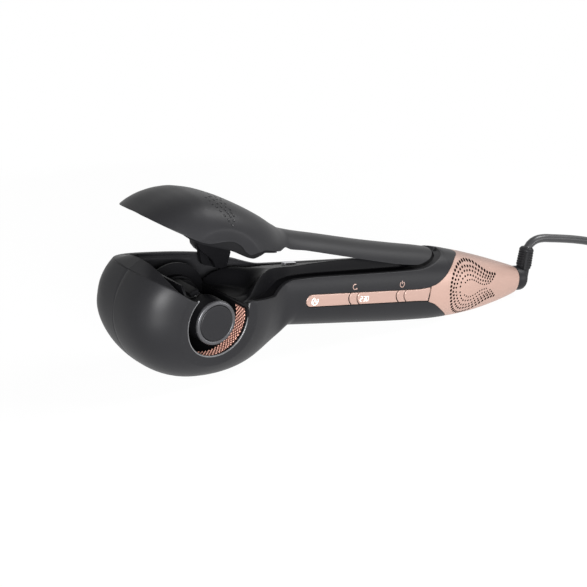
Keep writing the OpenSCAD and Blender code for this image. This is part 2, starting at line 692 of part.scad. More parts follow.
// Rotor with its hook, turning on the bush around the barrel's stem
rotor_near = chamber_far - 8.2;
ring_near = rotor_near + 3.4;
ring_d = 28;
sleeve_d = 25.2;
rotor_bore = barrel_d + 1.2;
finger_near = -11;
module rotor() color(black) lying() {
    difference() {
        union() {
            across(ring_d / 2, ring_near, barrel_far - 0.4);
            across(ring_d / 2 - 1, rotor_near, ring_near + eps);
            across(sleeve_d / 2, rotor_near, gear_y);
        }
        across(rotor_bore / 2, 0, gear_y - 1.6);
        across(bush_d / 2 + turn_fit, 0, 30);
    }
    side_shape(finger_near, rotor_near + eps) intersection() {
        difference() {
            circle(d = ring_d - 1.2, $fn = round_fn);
            circle(d = rotor_bore, $fn = round_fn);
        }
        rotate(114) translate([0, -3.2]) square([20, 6.4]);
    }
}
// Gear outline with involute flanks
pressure = 20;
backlash = 0.12;
function inv(a) = tan(a) * 180 / PI - a;
module gear_shape(teeth, phase = 0) {
    pitch = teeth * gear_module / 2;
    base = pitch * cos(pressure);
    root = pitch - 1.25 * gear_module;
    tip = pitch + 0.95 * gear_module;
    half = 90 / teeth - backlash / 2 / pitch * 180 / PI;
    function flank(r) = half + inv(pressure) - inv(acos(min(base / r, 1)));
    radii = [root, max(root, base) + 0.02, pitch - 0.2 * gear_module, pitch + 0.3 * gear_module, tip];
    polygon([for (i = [0:teeth - 1], k = [-1, 1], q = [0:4])
        let (r = radii[k < 0 ? q : 4 - q], a = phase + 360 * i / teeth + k * flank(r))
        r * [cos(a), sin(a)]]);
}
drive_angle = -22;
idler_far = (rotor_teeth + idler_teeth) * gear_module / 2;
motor_far = idler_far + (idler_teeth + pinion_teeth) * gear_module / 2;
idler_at = idler_far * [cos(drive_angle), sin(drive_angle)];
motor_at = motor_far * [cos(drive_angle), sin(drive_angle)];
// A tooth of one gear meets a gap of the next on the line of centres
function facing(teeth) = 180 + 180 / teeth;
module rotor_gear() color([0.85, 0.85, 0.8]) lying() side_shape(gear_y, gear_y + gear_width) difference() {
    gear_shape(rotor_teeth, drive_angle);
    circle(d = bush_d + 2 * turn_fit, $fn = round_fn);
}
module rotor_bush() color(black) lying() difference() {
    across(bush_d / 2, gear_y - 1.4, plate_y);
    across(stem_d1 / 2 + eps, 0, 40);
}
module idler_gear() color([0.85, 0.85, 0.8]) lying() translate([idler_at[0], 0, idler_at[1]])
    side_shape(gear_y, gear_y + gear_width) difference() {
        gear_shape(idler_teeth, drive_angle + facing(idler_teeth));
        circle(d = idler_pin_d + 2 * turn_fit, $fn = small_fn);
    }
idler_pin_d = 3;
module idler_pin() color(steel) lying() translate([idler_at[0], 0, idler_at[1]])
    across(idler_pin_d / 2, gear_y - 1, plate_y, small_fn);
shaft_d = 2;
module motor_pinion() color([0.85, 0.85, 0.8]) lying() translate([motor_at[0], 0, motor_at[1]])
    side_shape(gear_y, gear_y + gear_width) difference() {
        gear_shape(pinion_teeth, drive_angle + facing(pinion_teeth) + 180 / pinion_teeth);
        circle(d = shaft_d, $fn = small_fn);
    }
motor_near = -10;
motor_face = gear_y - 4.5;
module motor_shaft() color(steel) lying() translate([motor_at[0], 0, motor_at[1]])
    across(shaft_d / 2, motor_face - 4, gear_y + gear_width, small_fn);
module motor() color(steel) lying() translate([motor_at[0], 0, motor_at[1]]) difference() {
    across(motor_d / 2, motor_near, motor_face);
    across(shaft_d / 2 + turn_fit, motor_face - 5, motor_face + 1, small_fn);
}
plate_posts = [[-24, -14], [-24, 6], [2, -22]];
plate_post_d = 4;
module chassis_plate() color(steel) lying() {
    side_shape(plate_y, plate_y + plate_thick) polygon([
        [-27, -16], [-27, 9], [-12, 14], [8, 14], [13, 4], [16, -3], [31, -3.5], [31, -9],
        [24, -15], [18, -19], [6, -24.5], [-6, -24.5]
    ]);
    // Arm that carries the motor
    translate([motor_at[0] - 0.8, motor_face, motor_at[1] + motor_d / 2 - 4])
        cube([4, plate_y - motor_face + eps, 3]);
}

// Strip pieces and buttons
module strip_front() color(copper) lying() strip_piece(strip_x[0], strip_x[1], strip_depth, true);
module strip_middle() color(copper) lying() strip_piece(strip_x[2], strip_x[3], strip_depth);
module strip_rear() color(copper) lying() strip_piece(strip_x[4], strip_x[5], strip_depth);
module timer_button() color(copper) lying() button(1);
module power_button() color(copper) lying() button(3);
switch_high = 1.1;
board_y = stem_end + button_travel + 0.05 + switch_high;
module button_switches() color(black) lying()
    for (x = button_x) translate([x - 2, board_y - switch_high, button_z - 2]) cube([4, switch_high, 4]);
module control_board() color(green) lying()
    translate([68, board_y, button_z - 5]) cube([82, 1.2, 10]);
board_near = 2.5;
board_thick = 1.6;
module main_board() color(green) lying() translate([62, board_near, -3]) cube([74, board_thick, 16.5]);
module power_parts() color([0.15, 0.3, 0.6]) lying() {
    for (x = [74, 104]) translate([x, board_near + board_thick, 2]) cube([10, 7, 9]);
    translate([92, board_near + board_thick, 6]) across(4.5, 0, 8, small_fn);
}
module buzzer() color(black) lying() translate([124, 0, 5]) across(4.5, -1.5, 2.5, small_fn);

// Rear cover with the seat of the cord's swivel
cover_rows = concat([for (x = [148:5:208]) x], [for (x = [212:3.4:230]) x], [233.3, 235.7]);
cover_cols = 22;
end_wall = 2.2;
neck_d = 10;
swivel_z = 7.8;
function ring_row(x, t) = [for (j = [0:cover_cols - 1])
    let (a = 90 - 360 * j / cover_cols, b = a < -90 ? -180 - a : a)
    shell_point(x, b, a < -90 ? near : far, t)];
function tube_faces(rows, cols) =
    let (n = rows * cols)
    concat(
        [for (i = [0:rows - 2], j = [0:cols - 1]) let (k = (j + 1) % cols)
            each quad(i * cols + j, i * cols + k, (i + 1) * cols + k, (i + 1) * cols + j)],
        [for (i = [0:rows - 2], j = [0:cols - 1]) let (k = (j + 1) % cols)
            each quad(n + i * cols + j, n + (i + 1) * cols + j, n + (i + 1) * cols + k, n + i * cols + k)],
        [for (j = [0:cols - 1]) let (k = (j + 1) % cols) each quad(j, n + j, n + k, k)],
        [[for (j = [0:cols - 1]) (rows - 1) * cols + j]],
        [[for (j = [cols - 1:-1:0]) n + (rows - 1) * cols + j]]
    );
module rear_cover() color(copper) difference() {
    lying() difference() {
        intersection() {
            polyhedron(
                concat(
                    [for (x = cover_rows) each ring_row(x + tail, 0)],
                    [for (x = cover_rows) each ring_row(min(x, 235.7 - end_wall) + tail, wall)]
                ),
                tube_faces(len(cover_rows), cover_cols), convexity = 8
            );
            cover_side(cover_gap);
        }
        translate([handle_end - 10, 0, swivel_z]) rotate([0, 90, 0])
            cylinder(h = 20, d = neck_d + 2 * turn_fit, $fn = round_fn);
    }
    floor_cut();
}

// Swivel, strain relief and lead
collar_long = 8.8;
collar_gap = 0.2;
elbow_d = 7.6;
boot_x = 9;
boot_base = 6.4;
boot_d = 8.8;
boot_ribs = 7;
rib_pitch = 1.5;
boot_high = 12.8;
boot_taper = 0.07;
rib_deep = 0.5;
bore_d = cord_d + 0.4;
module swivel_axis() lying() translate([handle_end, 0, swivel_z]) rotate([0, 90, 0]) children();
module swivel_collar() color(charcoal) swivel_axis() difference() {
    union() {
        translate([0, 0, collar_gap]) rotate_extrude($fn = round_fn) polygon(concat(
            [[0, 0], [collar_d / 2, 0]],
            [for (a = [0:10:90]) [collar_d / 2 - 3 + 3 * cos(a), collar_long - 3 - collar_gap + 3 * sin(a)]],
            [[0, collar_long - collar_gap]]
        ));
        translate([0, 0, -end_wall - 1.8]) cylinder(h = end_wall + 2.2, d = neck_d, $fn = round_fn);
        translate([-boot_base, 0, boot_x]) rotate([0, 90, 0])
            cylinder(h = boot_base - 1.5, d = elbow_d, $fn = small_fn);
    }
    translate([0, 0, -10]) cylinder(h = 16, d = bore_d, $fn = small_fn);
    translate([-boot_base - 9, 0, boot_x]) rotate([0, 90, 0])
        cylinder(h = 9, d = boot_d + 0.1, $fn = small_fn);
}
module swivel_flange() color(black) swivel_axis() translate([0, 0, -end_wall - 1.8]) difference() {
    cylinder(h = 1.5, d = neck_d + 1.8, $fn = round_fn);
    translate([0, 0, -1]) cylinder(h = 4, d = neck_d, $fn = round_fn);
}
module swivel_boot() color(charcoal) lying()
    translate([handle_end + boot_x, 0, swivel_z + boot_base]) difference() {
        rotate_extrude($fn = small_fn) polygon(concat(
            [[0, 0], [boot_d / 2, 0], [boot_d / 2, 1.2]],
            [for (i = [0:boot_ribs - 1]) each [
                [boot_d / 2 - rib_deep - boot_taper * i, 1.2 + rib_pitch * i],
                [boot_d / 2 - rib_deep - boot_taper * i, 2 + rib_pitch * i],
                [boot_d / 2 - boot_taper * (i + 1), 2 + rib_pitch * i],
                [boot_d / 2 - boot_taper * (i + 1), 1.2 + rib_pitch * (i + 1)]]],
            [[bore_d / 2 + 0.5, boot_high - 0.6], [bore_d / 2 + 0.2, boot_high], [0, boot_high]]
        ));
        translate([0, 0, -1]) cylinder(h = boot_high + 2, d = bore_d, $fn = small_fn);
    }

// Route of the lead from the boot to the coil, chosen by hand
tip_at = [handle_end + boot_x, 0, swivel_z + boot_base + boot_high];
lead_points = concat(
    [for (p = [[0, 0.4], [0.6, 1.6], [2.6, 3.4], [6, 5], [11, 5.4], [18, 5.3], [28, 5], [40, 4.2], [54, 2.6]])
        lie(tip_at + [p[0], 0, p[1]])],
    [[207, -0.4, 21.4], [217, -2.4, 16.4], [226.5, -6.2, 11.2], [235.5, -11.4, 6.8], [244, -17.4, 3.9],
        [252.5, -23.4, 2.7], [261.5, -28.8, 2.6], [271, -32.6, 2.6]]
);
coil_at = [285, 0, 2.6];
coil_layers = 4;
coil_pitch = cord_d + 0.55;
coil_steps = 24;
coil_total = coil_layers * coil_turns;
climb = 0.5;
// The spiral runs in, out, in and out, and climbs in the half turn where it reverses
function coil_in(n) = let (k = n % (2 * coil_turns)) min(k, 2 * coil_turns - k);
function coil_layer(n) = [for (i = [1:coil_layers - 1])
    ease(n, coil_turns * i - climb / 2, coil_turns * i + climb / 2)] * [for (i = [1:coil_layers - 1]) 1];
function coil_point(n) =
    let (a = 360 * n - 90, r = coil_r - coil_pitch * coil_in(n))
    coil_at + [r * cos(a), r * sin(a), coil_pitch * coil_layer(n)];
coil_points = concat(
    [coil_point(0) - [cord_d, 0, 0]],
    [for (i = [0:coil_total * coil_steps]) coil_point(i / coil_steps)],
    [coil_point(coil_total) + [cord_d, 0, 0]]
);
plug_axis = 6.85;
tail_start = coil_points[len(coil_points) - 1];
tail_drop = tail_start[2] - plug_axis;
tail_run = 66;
tail_side = 17;
tail_points = [for (k = [0:8])
    tail_start + [tail_run * k / 8, 0, 0] + ease(k, 0.5, 7.5) * [0, tail_side, -tail_drop]];
// Round tube along a list of points
function unit(v) = v / norm(v);
function heading(p, i) = unit(p[min(i + 1, len(p) - 1)] - p[max(i - 1, 0)]);
function tube_ring(p, i, r, sides) =
    let (t = heading(p, i), s = unit(cross(t, [0, 0, 1])), u = cross(s, t))
    [for (k = [0:sides - 1]) let (a = 360 * (k + 0.5) / sides) p[i] + r * (cos(a) * s + sin(a) * u)];
module tube(p, r, sides) {
    n = len(p);
    polyhedron(
        [for (i = [0:n - 1]) each tube_ring(p, i, r, sides)],
        concat(
            [[for (k = [0:sides - 1]) k]],
            [for (i = [0:n - 2], k = [0:sides - 1]) let (m = (k + 1) % sides)
                each quad(i * sides + k, (i + 1) * sides + k, (i + 1) * sides + m, i * sides + m)],
            [[for (k = [sides - 1:-1:0]) (n - 1) * sides + k]]
        ),
        convexity = 8
    );
}
module floor_flat() translate([0, -300, -20]) cube([700, 600, 20]);
module cord_lead() color(black) {
    tube(concat(lead_points, [coil_points[0]]), cord_d / 2, 8);
    tube(tail_points, cord_d / 2, 8);
}
module cord_coil() color(black) difference() {
    tube(coil_points, cord_d / 2, 6);
    floor_flat();
}
plug_at = tail_points[len(tail_points) - 1];
plug_wide = 34;
plug_thick = 13.7;
plug_long = 33;
neck_long = 11;
module plug_body() color(black) translate(plug_at) difference() {
    union() {
        rotate([0, 90, 0]) cylinder(h = neck_long + 1, d1 = cord_d + 3, d2 = 11, $fn = small_fn);
        translate([neck_long, 0, -plug_thick / 2]) linear_extrude(plug_thick) polygon([
            [0, -6], [8, -plug_wide / 2 + 3], [12, -plug_wide / 2], [plug_long - 1, -plug_wide / 2],
            [plug_long, -plug_wide / 2 + 1], [plug_long, plug_wide / 2 - 1],
            [plug_long - 1, plug_wide / 2], [12, plug_wide / 2], [8, plug_wide / 2 - 3], [0, 6]
        ]);
    }
    mains_pins();
}
mains_pin_d = 4;
mains_pin_long = 19;
mains_pin_root = 5;
mains_pin_half = 9.3;
module mains_pins() for (s = [-1, 1])
    translate([neck_long + plug_long - mains_pin_root, s * mains_pin_half, 0]) rotate([0, 90, 0])
    cylinder(h = mains_pin_long + mains_pin_root, d = mains_pin_d, $fn = small_fn);
module plug_pins() color(steel) translate(plug_at) mains_pins();

// Least gap between the coil's turns, and the lead's length
function length(p) = len(p) < 2 ? 0 :
    [for (i = [0:len(p) - 2]) norm(p[i + 1] - p[i])] * [for (i = [0:len(p) - 2]) 1];
coil_gap = min([for (i = [0:len(coil_points) - 1], j = [i + 8:1:len(coil_points) - 1])
    norm(coil_points[i] - coil_points[j])]) - cord_d;
echo(coil_gap = coil_gap, lead = length(lead_points), coil = length(coil_points), tail = length(tail_points));

near_casing();
far_casing();
mouth_rim();
deck();
lid_shell();
lid_liner();
hair_guide();
lid_bumper();
hinge_pin();
hinge_bracket();
lid_spring();
lid_pin();
pin_switch();
barrel_tube();
barrel_stem();
ceramic_heater();
cool_tip();
tip_ring();
tip_disc();
chamber();
chamber_liner();
rotor();
rotor_gear();
rotor_bush();
idler_gear();
idler_pin();
motor_pinion();
motor_shaft();
motor();
chassis_plate();
strip_front();
strip_middle();
strip_rear();
timer_button();
power_button();
button_switches();
control_board();
main_board();
power_parts();
buzzer();
rear_cover();
swivel_collar();
swivel_flange();
swivel_boot();
casing_screws();
cord_lead();
cord_coil();
plug_body();
plug_pins();
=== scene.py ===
"""Automatic hair waver: a hinged lid over a heated barrel, a round side opening, a strip with two buttons,
a rose-gold rear cover with vent holes, and a mains lead on a swivel.

Sizes are in millimetres in the handle's frame, unless a name says otherwise: x runs back along the handle from
the barrel's axis, y away from the side opening, z up. lie() turns them into the part's frame.
"""

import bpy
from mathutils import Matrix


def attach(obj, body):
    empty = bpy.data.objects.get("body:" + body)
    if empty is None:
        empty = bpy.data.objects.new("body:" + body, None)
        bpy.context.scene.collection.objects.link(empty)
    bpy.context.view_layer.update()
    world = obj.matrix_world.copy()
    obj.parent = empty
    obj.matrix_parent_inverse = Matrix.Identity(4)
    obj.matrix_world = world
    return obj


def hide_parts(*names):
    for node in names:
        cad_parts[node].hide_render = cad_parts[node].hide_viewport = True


bl_info = {
    "name": "Automatic hair waver",
    "version": (1, 0, 0),
    "blender": (4, 5, 0),
    "location": "View3D > Sidebar > Waver",
    "description": "Builds the dressed hair waver round its packed frame",
    "category": "Add Mesh",
}

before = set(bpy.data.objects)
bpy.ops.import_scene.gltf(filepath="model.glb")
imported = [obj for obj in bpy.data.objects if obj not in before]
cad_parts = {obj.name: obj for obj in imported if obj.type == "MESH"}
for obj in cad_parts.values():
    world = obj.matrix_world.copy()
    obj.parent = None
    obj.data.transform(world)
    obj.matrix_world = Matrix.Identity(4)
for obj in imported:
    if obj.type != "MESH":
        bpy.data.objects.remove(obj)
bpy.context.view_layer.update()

import bmesh
import bpy
import numpy as np
from bpy.props import FloatProperty, FloatVectorProperty, PointerProperty
from bpy.types import Operator, Panel, PropertyGroup
from mathutils import Matrix

MM = 0.001
NEAR, FAR = -1, 1

# Body envelope, as in the part's source
HEAD_FRONT, HEAD_REAR, HEAD_REAR_PLAN = 46, 64, 57
HEAD_DEEP, HEAD_MID, HEAD_WIDE = 39, 3, 31.5
WALL, LID_WALL = 2.4, 1.8
HANDLE_END = 235.7
REST_TILT = np.radians(7.81088)
REST_SHIFT, REST_DROP = -102.186, 35.933
HANDLE_SIDE = ((50, 18.2), (150, 18.2), (165, 18), (180, 17.2), (205, 14.4), (222, 11.2), (236, 8.2))
HANDLE_BOTTOM = (
    (50, -11.3), (100, -12.6), (150, -13.4), (165, -13.3), (180, -12.4), (196, -10.6),
    (216, -6.6), (230, -2.8), (236, -0.6),
)
HANDLE_TOP = ((50, 28), (100, 29), (163, 29.4), (184, 26.8), (205, 22.8), (224, 18.4), (236, 15.4))
HANDLE_MID = ((50, 7), (100, 8), (180, 8), (236, 7.4))

# Upper edges of the casings, lower edges and crest of the lid drawn closed
NEAR_LIP = (
    (-46, 24.6), (-39.5, 22.4), (-30, 19.2), (-14, 12.2), (18.3, 10.5), (20.4, 11), (39.7, 10.7),
    (44.1, 13.4), (48.9, 15.6), (54.2, 17.3), (59.7, 17.9), (73, 18.6), (109, 19.3), (131, 19.8),
    (147, 20.5), (156, 22.6), (163, 25.6), (170, 29.5),
)
FAR_LIP = (
    (-46, 24.6), (-39.5, 22.4), (-30, 22.2), (25, 22.2), (38, 20.5), (55, 18.2), (100, 18.7),
    (144, 20), (156, 23), (163, 26.8), (170, 30),
)
NEAR_EDGE = (
    (-44, 23), (-41, 22.4), (-25, 19.3), (-16, 18), (-13, 18), (-8, 18.9), (-4.5, 19.9), (1.7, 20.9),
    (7.5, 19.6), (12.7, 16.4), (15.5, 15.5), (20, 17.3), (26, 18.9), (40, 18.4), (47, 20.2), (52, 19.4), (63, 20),
    (87, 20.3), (125, 20.9), (145, 22.4), (155, 26), (159.5, 29), (162, 31),
)
FAR_EDGE = (
    (-44, 23.6), (-41, 22.4), (-30, 22.8), (20, 23), (38, 21.6), (52, 19.6), (63, 20), (87, 20.3),
    (125, 20.9), (145, 21.5), (155, 24.2), (159.5, 27.5), (162, 31),
)
LINER_NEAR = (
    (-38, 23.4), (-29.5, 20.6), (-24, 18.4), (-16, 16.9), (1, 16.2), (18, 13.6), (24, 15.5), (28, 17.2),
    (40, 17.2),
)
LINER_FAR = ((-38, 23.4), (-30, 23.1), (20, 22.9), (38, 21.4), (40, 21.2))
LID_CREST = (
    (-42.6, 23.4), (-39.6, 26.2), (-35, 30.2), (-29, 34), (-22, 37), (-15, 38.7), (-6, 39.2), (4, 38.5),
    (14, 37), (29, 33.5), (43, 29.2), (52, 27.1), (60, 27), (80, 27.6), (109, 28.4), (133, 29.6),
    (156, 31), (162, 31.2),
)

# Deck behind the hair slot
DECK_FLOOR = (
    (19, 7.8), (25, 8.6), (33, 9.4), (39, 10.2), (45, 13), (50.5, 16), (62, 17.2), (82, 18), (98, 18.4),
    (125, 19), (146, 19.4), (154, 20.4), (162, 23.4), (169, 27.4),
)
RIDGE_TOP = (
    (19, 8.2), (25, 10), (31.5, 18), (38, 22.3), (47, 22.9), (61, 22.3), (76, 23.4), (99, 25),
    (122, 25.4), (138, 22.5), (144, 20), (154, 20.6), (162, 23.6), (169, 27.6),
)
DECK_FAR = (
    (19, 11), (25, 15), (39, 16.9), (43, 16.4), (60, 17.2), (100, 17.8), (146, 19.2), (154, 20.4),
    (162, 23.4), (169, 27.4),
)
RIDGE_NEAR = ((19, -22), (25, -19.5), (31, -16.5), (38, -12.8), (47, -9), (61, -5.6), (76, -4.6), (169, -4))

# Edge between the casings and the rear cover, as [height, place], above and below the strip
COVER_UPPER = (
    (10.9, 154.7), (12.1, 158.6), (16.3, 165), (20.4, 169.7), (23.5, 173.3), (25.6, 177.2), (27.5, 184),
    (40, 184),
)
COVER_LOWER = ((-40, 182), (-14, 182), (-9, 175.2), (-4.7, 168), (-1.5, 162.6), (0.3, 159), (1.7, 154.7))

HINGE_X, HINGE_Z = 150, 26.4
LID_TIP, LID_TAIL = -42.6, 162
LID_OPEN = np.radians(9)
MOUTH_R = 18.75
MOUTH_X, MOUTH_Z = 0.7, 0.25
MOUTH_FROM, MOUTH_TO = 138.3, 372.57
SCREWS = ((-30, -9), (44, -14), (90, -6), (148, -7))
BOOT_X, SWIVEL_Z = HANDLE_END + 9, 7.8
LATTICE_PITCH, LATTICE_FAR = 2.1, -18.6
DISH_R = 24.6
LID_DISH_R = 26.9
LID_ARCH_R = 20.9
DISH_DEEP = 1.8

# Strip: where its pieces begin and end, and its lower edge and height
STRIP_X = (64.9, 94.9, 100.7, 129.4, 135.2, 154.7)
STRIP_Z, STRIP_HIGH, STRIP_LEAN, STRIP_BOW = 2.1, 7.8, 1.6, 1.7
STRIP_GAP, STRIP_DEPTH = 0.4, 1.5
COVER_GAP = 0.38

# Rows of vent holes on the rear cover, as [x, z] along each row, then the number of holes and their radius
VENT_ROWS = (
    (((209.1, 14.9), (203.8, 15.9), (198.5, 18.2), (194, 20.9), (189.2, 23.1), (183.7, 23.9),
      (178.2, 22.8), (174, 20), (171.5, 16), (170.6, 11.2), (171, 6.7), (172.6, 2.3), (175.1, -2.1),
      (180.4, -6.4), (186.2, -8), (191.9, -7.2), (196.4, -4.5), (200.9, -1.6), (205.7, 0.6),
      (211.1, 1.5)), 43, 0.66),
    (((207.7, 13.5), (202.1, 14.3), (196.5, 16.7), (191.9, 19.1), (187.2, 20.7), (181.8, 21),
      (177.1, 19.2), (174.3, 15.7), (173, 11.8), (172.8, 7.9), (174.3, 4.1), (176.6, 0.2),
      (179.9, -3), (184.5, -4.8), (189.9, -4.3), (194.5, -2.6), (198.5, -0.1), (203.9, 2.3),
      (209.2, 3.1)), 38, 0.56),
    (((206.6, 12.1), (200.2, 13.4), (194.7, 15.3), (190.3, 17.4), (185.8, 18.7), (181.3, 18.5),
      (177.6, 16.2), (175.7, 12.9), (174.9, 9.3)), 17, 0.5),
    (((175.4, 6.6), (177.3, 3.1), (180, -0.1), (184, -2.3), (188.4, -2.4), (192.7, -0.9),
      (196.9, 1.1), (201.7, 3.1), (207.4, 4.6)), 17, 0.46),
    (((205, 11), (198.8, 11.8), (193.7, 13.3), (189.2, 15.3), (184.5, 16.2), (180.3, 14.9),
      (178.4, 11.7), (178.2, 9.8)), 14, 0.48),
    (((178.8, 6.2), (180.8, 2.7), (184.5, 0.5), (189.1, 0.5), (193.5, 2), (197.4, 3.9),
      (202.8, 5), (205.6, 5.8)), 14, 0.44),
    (((203.6, 10), (199.3, 9.6), (195.5, 10.5), (191.6, 12.1), (187.3, 13.4), (183.4, 13.1),
      (182.1, 11.9)), 12, 0.4),
    (((183.3, 4.2), (187.2, 2.7), (190.9, 3.4), (194.4, 5.1), (197.9, 6.4), (201.9, 6.9)), 11, 0.38),
)
# Dimples on the lid, as [x, y] of each one, on the lid drawn closed
DIMPLES = (
    (-10.2, -12.2), (-9.9, -15.4), (-9.5, -18.1), (-7.8, -20), (-6.1, -22.2), (-4.2, -24.1),
    (-2.3, -25.6), (-0.1, -27.1), (-6.6, -10.2), (-6.3, -14), (-5.9, -17.2), (-4.6, -19.4),
    (-2.9, -21.2), (-1.6, -22.6), (-0.5, -23.9), (1.2, -25.3), (-4.3, -8.4), (-3.2, -12.4),
    (-2.6, -15.8), (-1.3, -18.4), (0.9, -21.7), (1.9, -23.1), (-3.3, -4.2), (-0.8, -7.6),
    (-0.2, -11.6), (0.6, -15.2), (1.1, -19.8), (1.4, -3.8), (2.6, -7.4), (-3.3, 1.2), (3.6, 0.6),
)

# Mains lead
CORD_D = 5.1
COIL_AT = (285, 0, 2.6)
COIL_R, COIL_TURNS, COIL_LAYERS = 34, 2.25, 4
COIL_PITCH = CORD_D + 0.55
PLUG_AXIS = 6.85
TAIL_RUN, TAIL_SIDE = 66, 17
BOOT_TIP = (244.7, 0, 27)
LEAD_RISE = (
    (0, -3), (0.3, -1), (1.1, 0.8), (2.8, 2.7), (5.4, 4.3), (9, 5.3), (13, 5.6), (19, 5.4), (28, 5),
    (40, 4.2), (54, 2.6),
)
LEAD_REST = (
    (207, -0.4, 21.4), (217, -2.4, 16.4), (226.5, -6.2, 11.2), (235.5, -11.4, 6.8), (244, -17.4, 3.9),
    (252.5, -23.4, 2.7), (261.5, -28.8, 2.6), (271, -32.6, 2.6),
)


def curve(x, rows):
    """Cubic Hermite curve through [place, value] rows. A row's slope is the harmonic mean of the slopes of
    the straight lines on its two sides, or level where they turn, so the curve never overshoots."""
    x = np.asarray(x, float)
    place, value = np.array(rows, float).T
    step = np.diff(place)
    rise = np.diff(value) / step
    both = rise[:-1] * rise[1:]
    inner = np.where(both > 0, 2 * both / np.where(both > 0, rise[:-1] + rise[1:], 1), 0)
    slope = np.concatenate([rise[:1], inner, rise[-1:]])
    i = np.clip(np.searchsorted(place, x, side="right") - 1, 0, len(step) - 1)
    u = np.clip((x - place[i]) / step[i], 0, 1)
    return (
        (2 * u**3 - 3 * u**2 + 1) * value[i] + (u**3 - 2 * u**2 + u) * step[i] * slope[i]
        + (3 * u**2 - 2 * u**3) * value[i + 1] + (u**3 - u**2) * step[i] * slope[i + 1]
    )


def through(points, count):
    """Points at equal steps along a smooth path: each coordinate is a cubic Hermite curve of the chord length."""
    points = np.asarray(points, float)
    chord = np.concatenate([[0], np.cumsum(np.linalg.norm(np.diff(points, axis=0), axis=1))])
    fine = np.linspace(0, chord[-1], 40 * len(points))
    path = np.stack([curve(fine, np.stack([chord, c], 1)) for c in points.T], 1)
    run = np.concatenate([[0], np.cumsum(np.linalg.norm(np.diff(path, axis=0), axis=1))])
    at = np.linspace(0, run[-1], count)
    return np.stack([np.interp(at, run, c) for c in path.T], 1)


def mix(a, b, k):
    return a + (b - a) * k


def ease(x, a, b):
    """Smoothstep: 3u^2 - 2u^3 of the share u of the way from a to b."""
    u = np.clip((np.asarray(x, float) - a) / (b - a), 0, 1)
    return u * u * (3 - 2 * u)


def smooth_max(a, b, r):
    h = np.maximum(r - np.abs(a - b), 0) / r
    return np.maximum(a, b) + h * h * r / 4


def bulge(x, a, n):
    """Height of a superellipse of half length a and power n, as (1 - |x/a|^n)^(1/n)."""
    return np.maximum(1 - np.minimum(np.abs(x) / a, 1)**n, 0)**(1 / n)


def half_width(x, side, t=0):
    """Half width of the body at x, t inside its skin: the head's superellipse, run into the handle's side."""
    x = np.asarray(x, float)
    reach = np.where(x < 0, HEAD_FRONT, HEAD_REAR_PLAN) - t
    power = np.where(x >= 0, 2, 3.2 if side < 0 else 4)
    head = (HEAD_WIDE - t) * bulge(x, reach, power)
    return np.where(x < 20, head, smooth_max(head, curve(x, HANDLE_SIDE) - t, 5))


def head_half(x, t):
    return (HEAD_DEEP - t) * bulge(x, np.where(x < 0, HEAD_FRONT, HEAD_REAR) - t, 2)


def mid_z(x):
    return mix(HEAD_MID, curve(x, HANDLE_MID), ease(x, 10, 60))


def bottom_z(x, t=0):
    head = head_half(x, t) - HEAD_MID
    return -np.where(x < 20, head, smooth_max(head, -curve(x, HANDLE_BOTTOM) - t, 4))


def top_z(x, t=0):
    head = HEAD_MID + head_half(x, t)
    return np.where(x < 20, head, smooth_max(head, curve(x, HANDLE_TOP) - t, 6))


def low_power(x):
    return mix(2.5, 2.3, ease(x, 20, 60))


def high_power(x):
    return mix(3, 2.3, ease(x, 20, 60))


def side_y(x, z, side, t=0):
    """Place of the skin across the handle at x, z: the half width times the section's superellipse."""
    m = mid_z(x)
    power = np.where(z < m, low_power(x), high_power(x))
    high = np.where(z < m, m - bottom_z(x, t), top_z(x, t) - m)
    return side * half_width(x, side, t) * bulge(z - m, high, power)


def shell_point(x, a, side, t=0):
    """Point of the skin at x and section angle a: half width times cos^(2/n), half height times sin^(2/n)."""
    m = mid_z(x)
    power = np.where(a < 0, low_power(x), high_power(x))
    high = np.where(a < 0, m - bottom_z(x, t), top_z(x, t) - m)
    y = side * half_width(x, side, t) * np.abs(np.cos(a))**(2 / power)
    z = m + high * np.sign(np.sin(a)) * np.abs(np.sin(a))**(2 / power)
    return np.stack(np.broadcast_arrays(x, y, z), -1)


def lid_width(x, side, t=0):
    return half_width(x, side) - 1.2 * ease(x, 20, 60) - t


def dished(points, inner, outer, at=(0, 0), crease=0.14):
    """Sinks the near side round a point, most at the inner radius and nothing past the outer one."""
    x, y, z = np.moveaxis(points, -1, 0)
    share = 1 - smooth_max(1 - (np.hypot(x - at[0], z - at[1]) - inner) / (outer - inner), 0, crease)
    sunk = DISH_DEEP * np.clip(1 - share, 0, 1.3)
    return np.stack([x, np.where(y < -10, y + sunk, y), z], -1)


def round_angles(count):
    """Angles at equal steps round a circle, the last one a step short of the first."""
    return np.linspace(0, 2 * np.pi, count + 1)[:-1]


def lie(points):
    """Handle's frame to the part's frame, still in millimetres: the waver rests on its head and its tail."""
    x, y, z = np.moveaxis(np.asarray(points, float), -1, 0)
    c, s = np.cos(REST_TILT), np.sin(REST_TILT)
    return np.stack([x * c + z * s + REST_SHIFT, y, z * c - x * s + REST_DROP], -1)


def points_of(obj):
    """Points of a mesh, as rows of x, y, z."""
    co = np.empty(3 * len(obj.data.vertices), np.float32)
    obj.data.vertices.foreach_get("co", co)
    return co.reshape(-1, 3)


def stood(obj):
    """Points of a mesh made with lie(), back in the handle's frame."""
    x, y, z = points_of(obj).T / MM - np.array([[REST_SHIFT], [0], [REST_DROP]])
    c, s = np.cos(REST_TILT), np.sin(REST_TILT)
    return np.stack([x * c - z * s, y, z * c + x * s], 1)


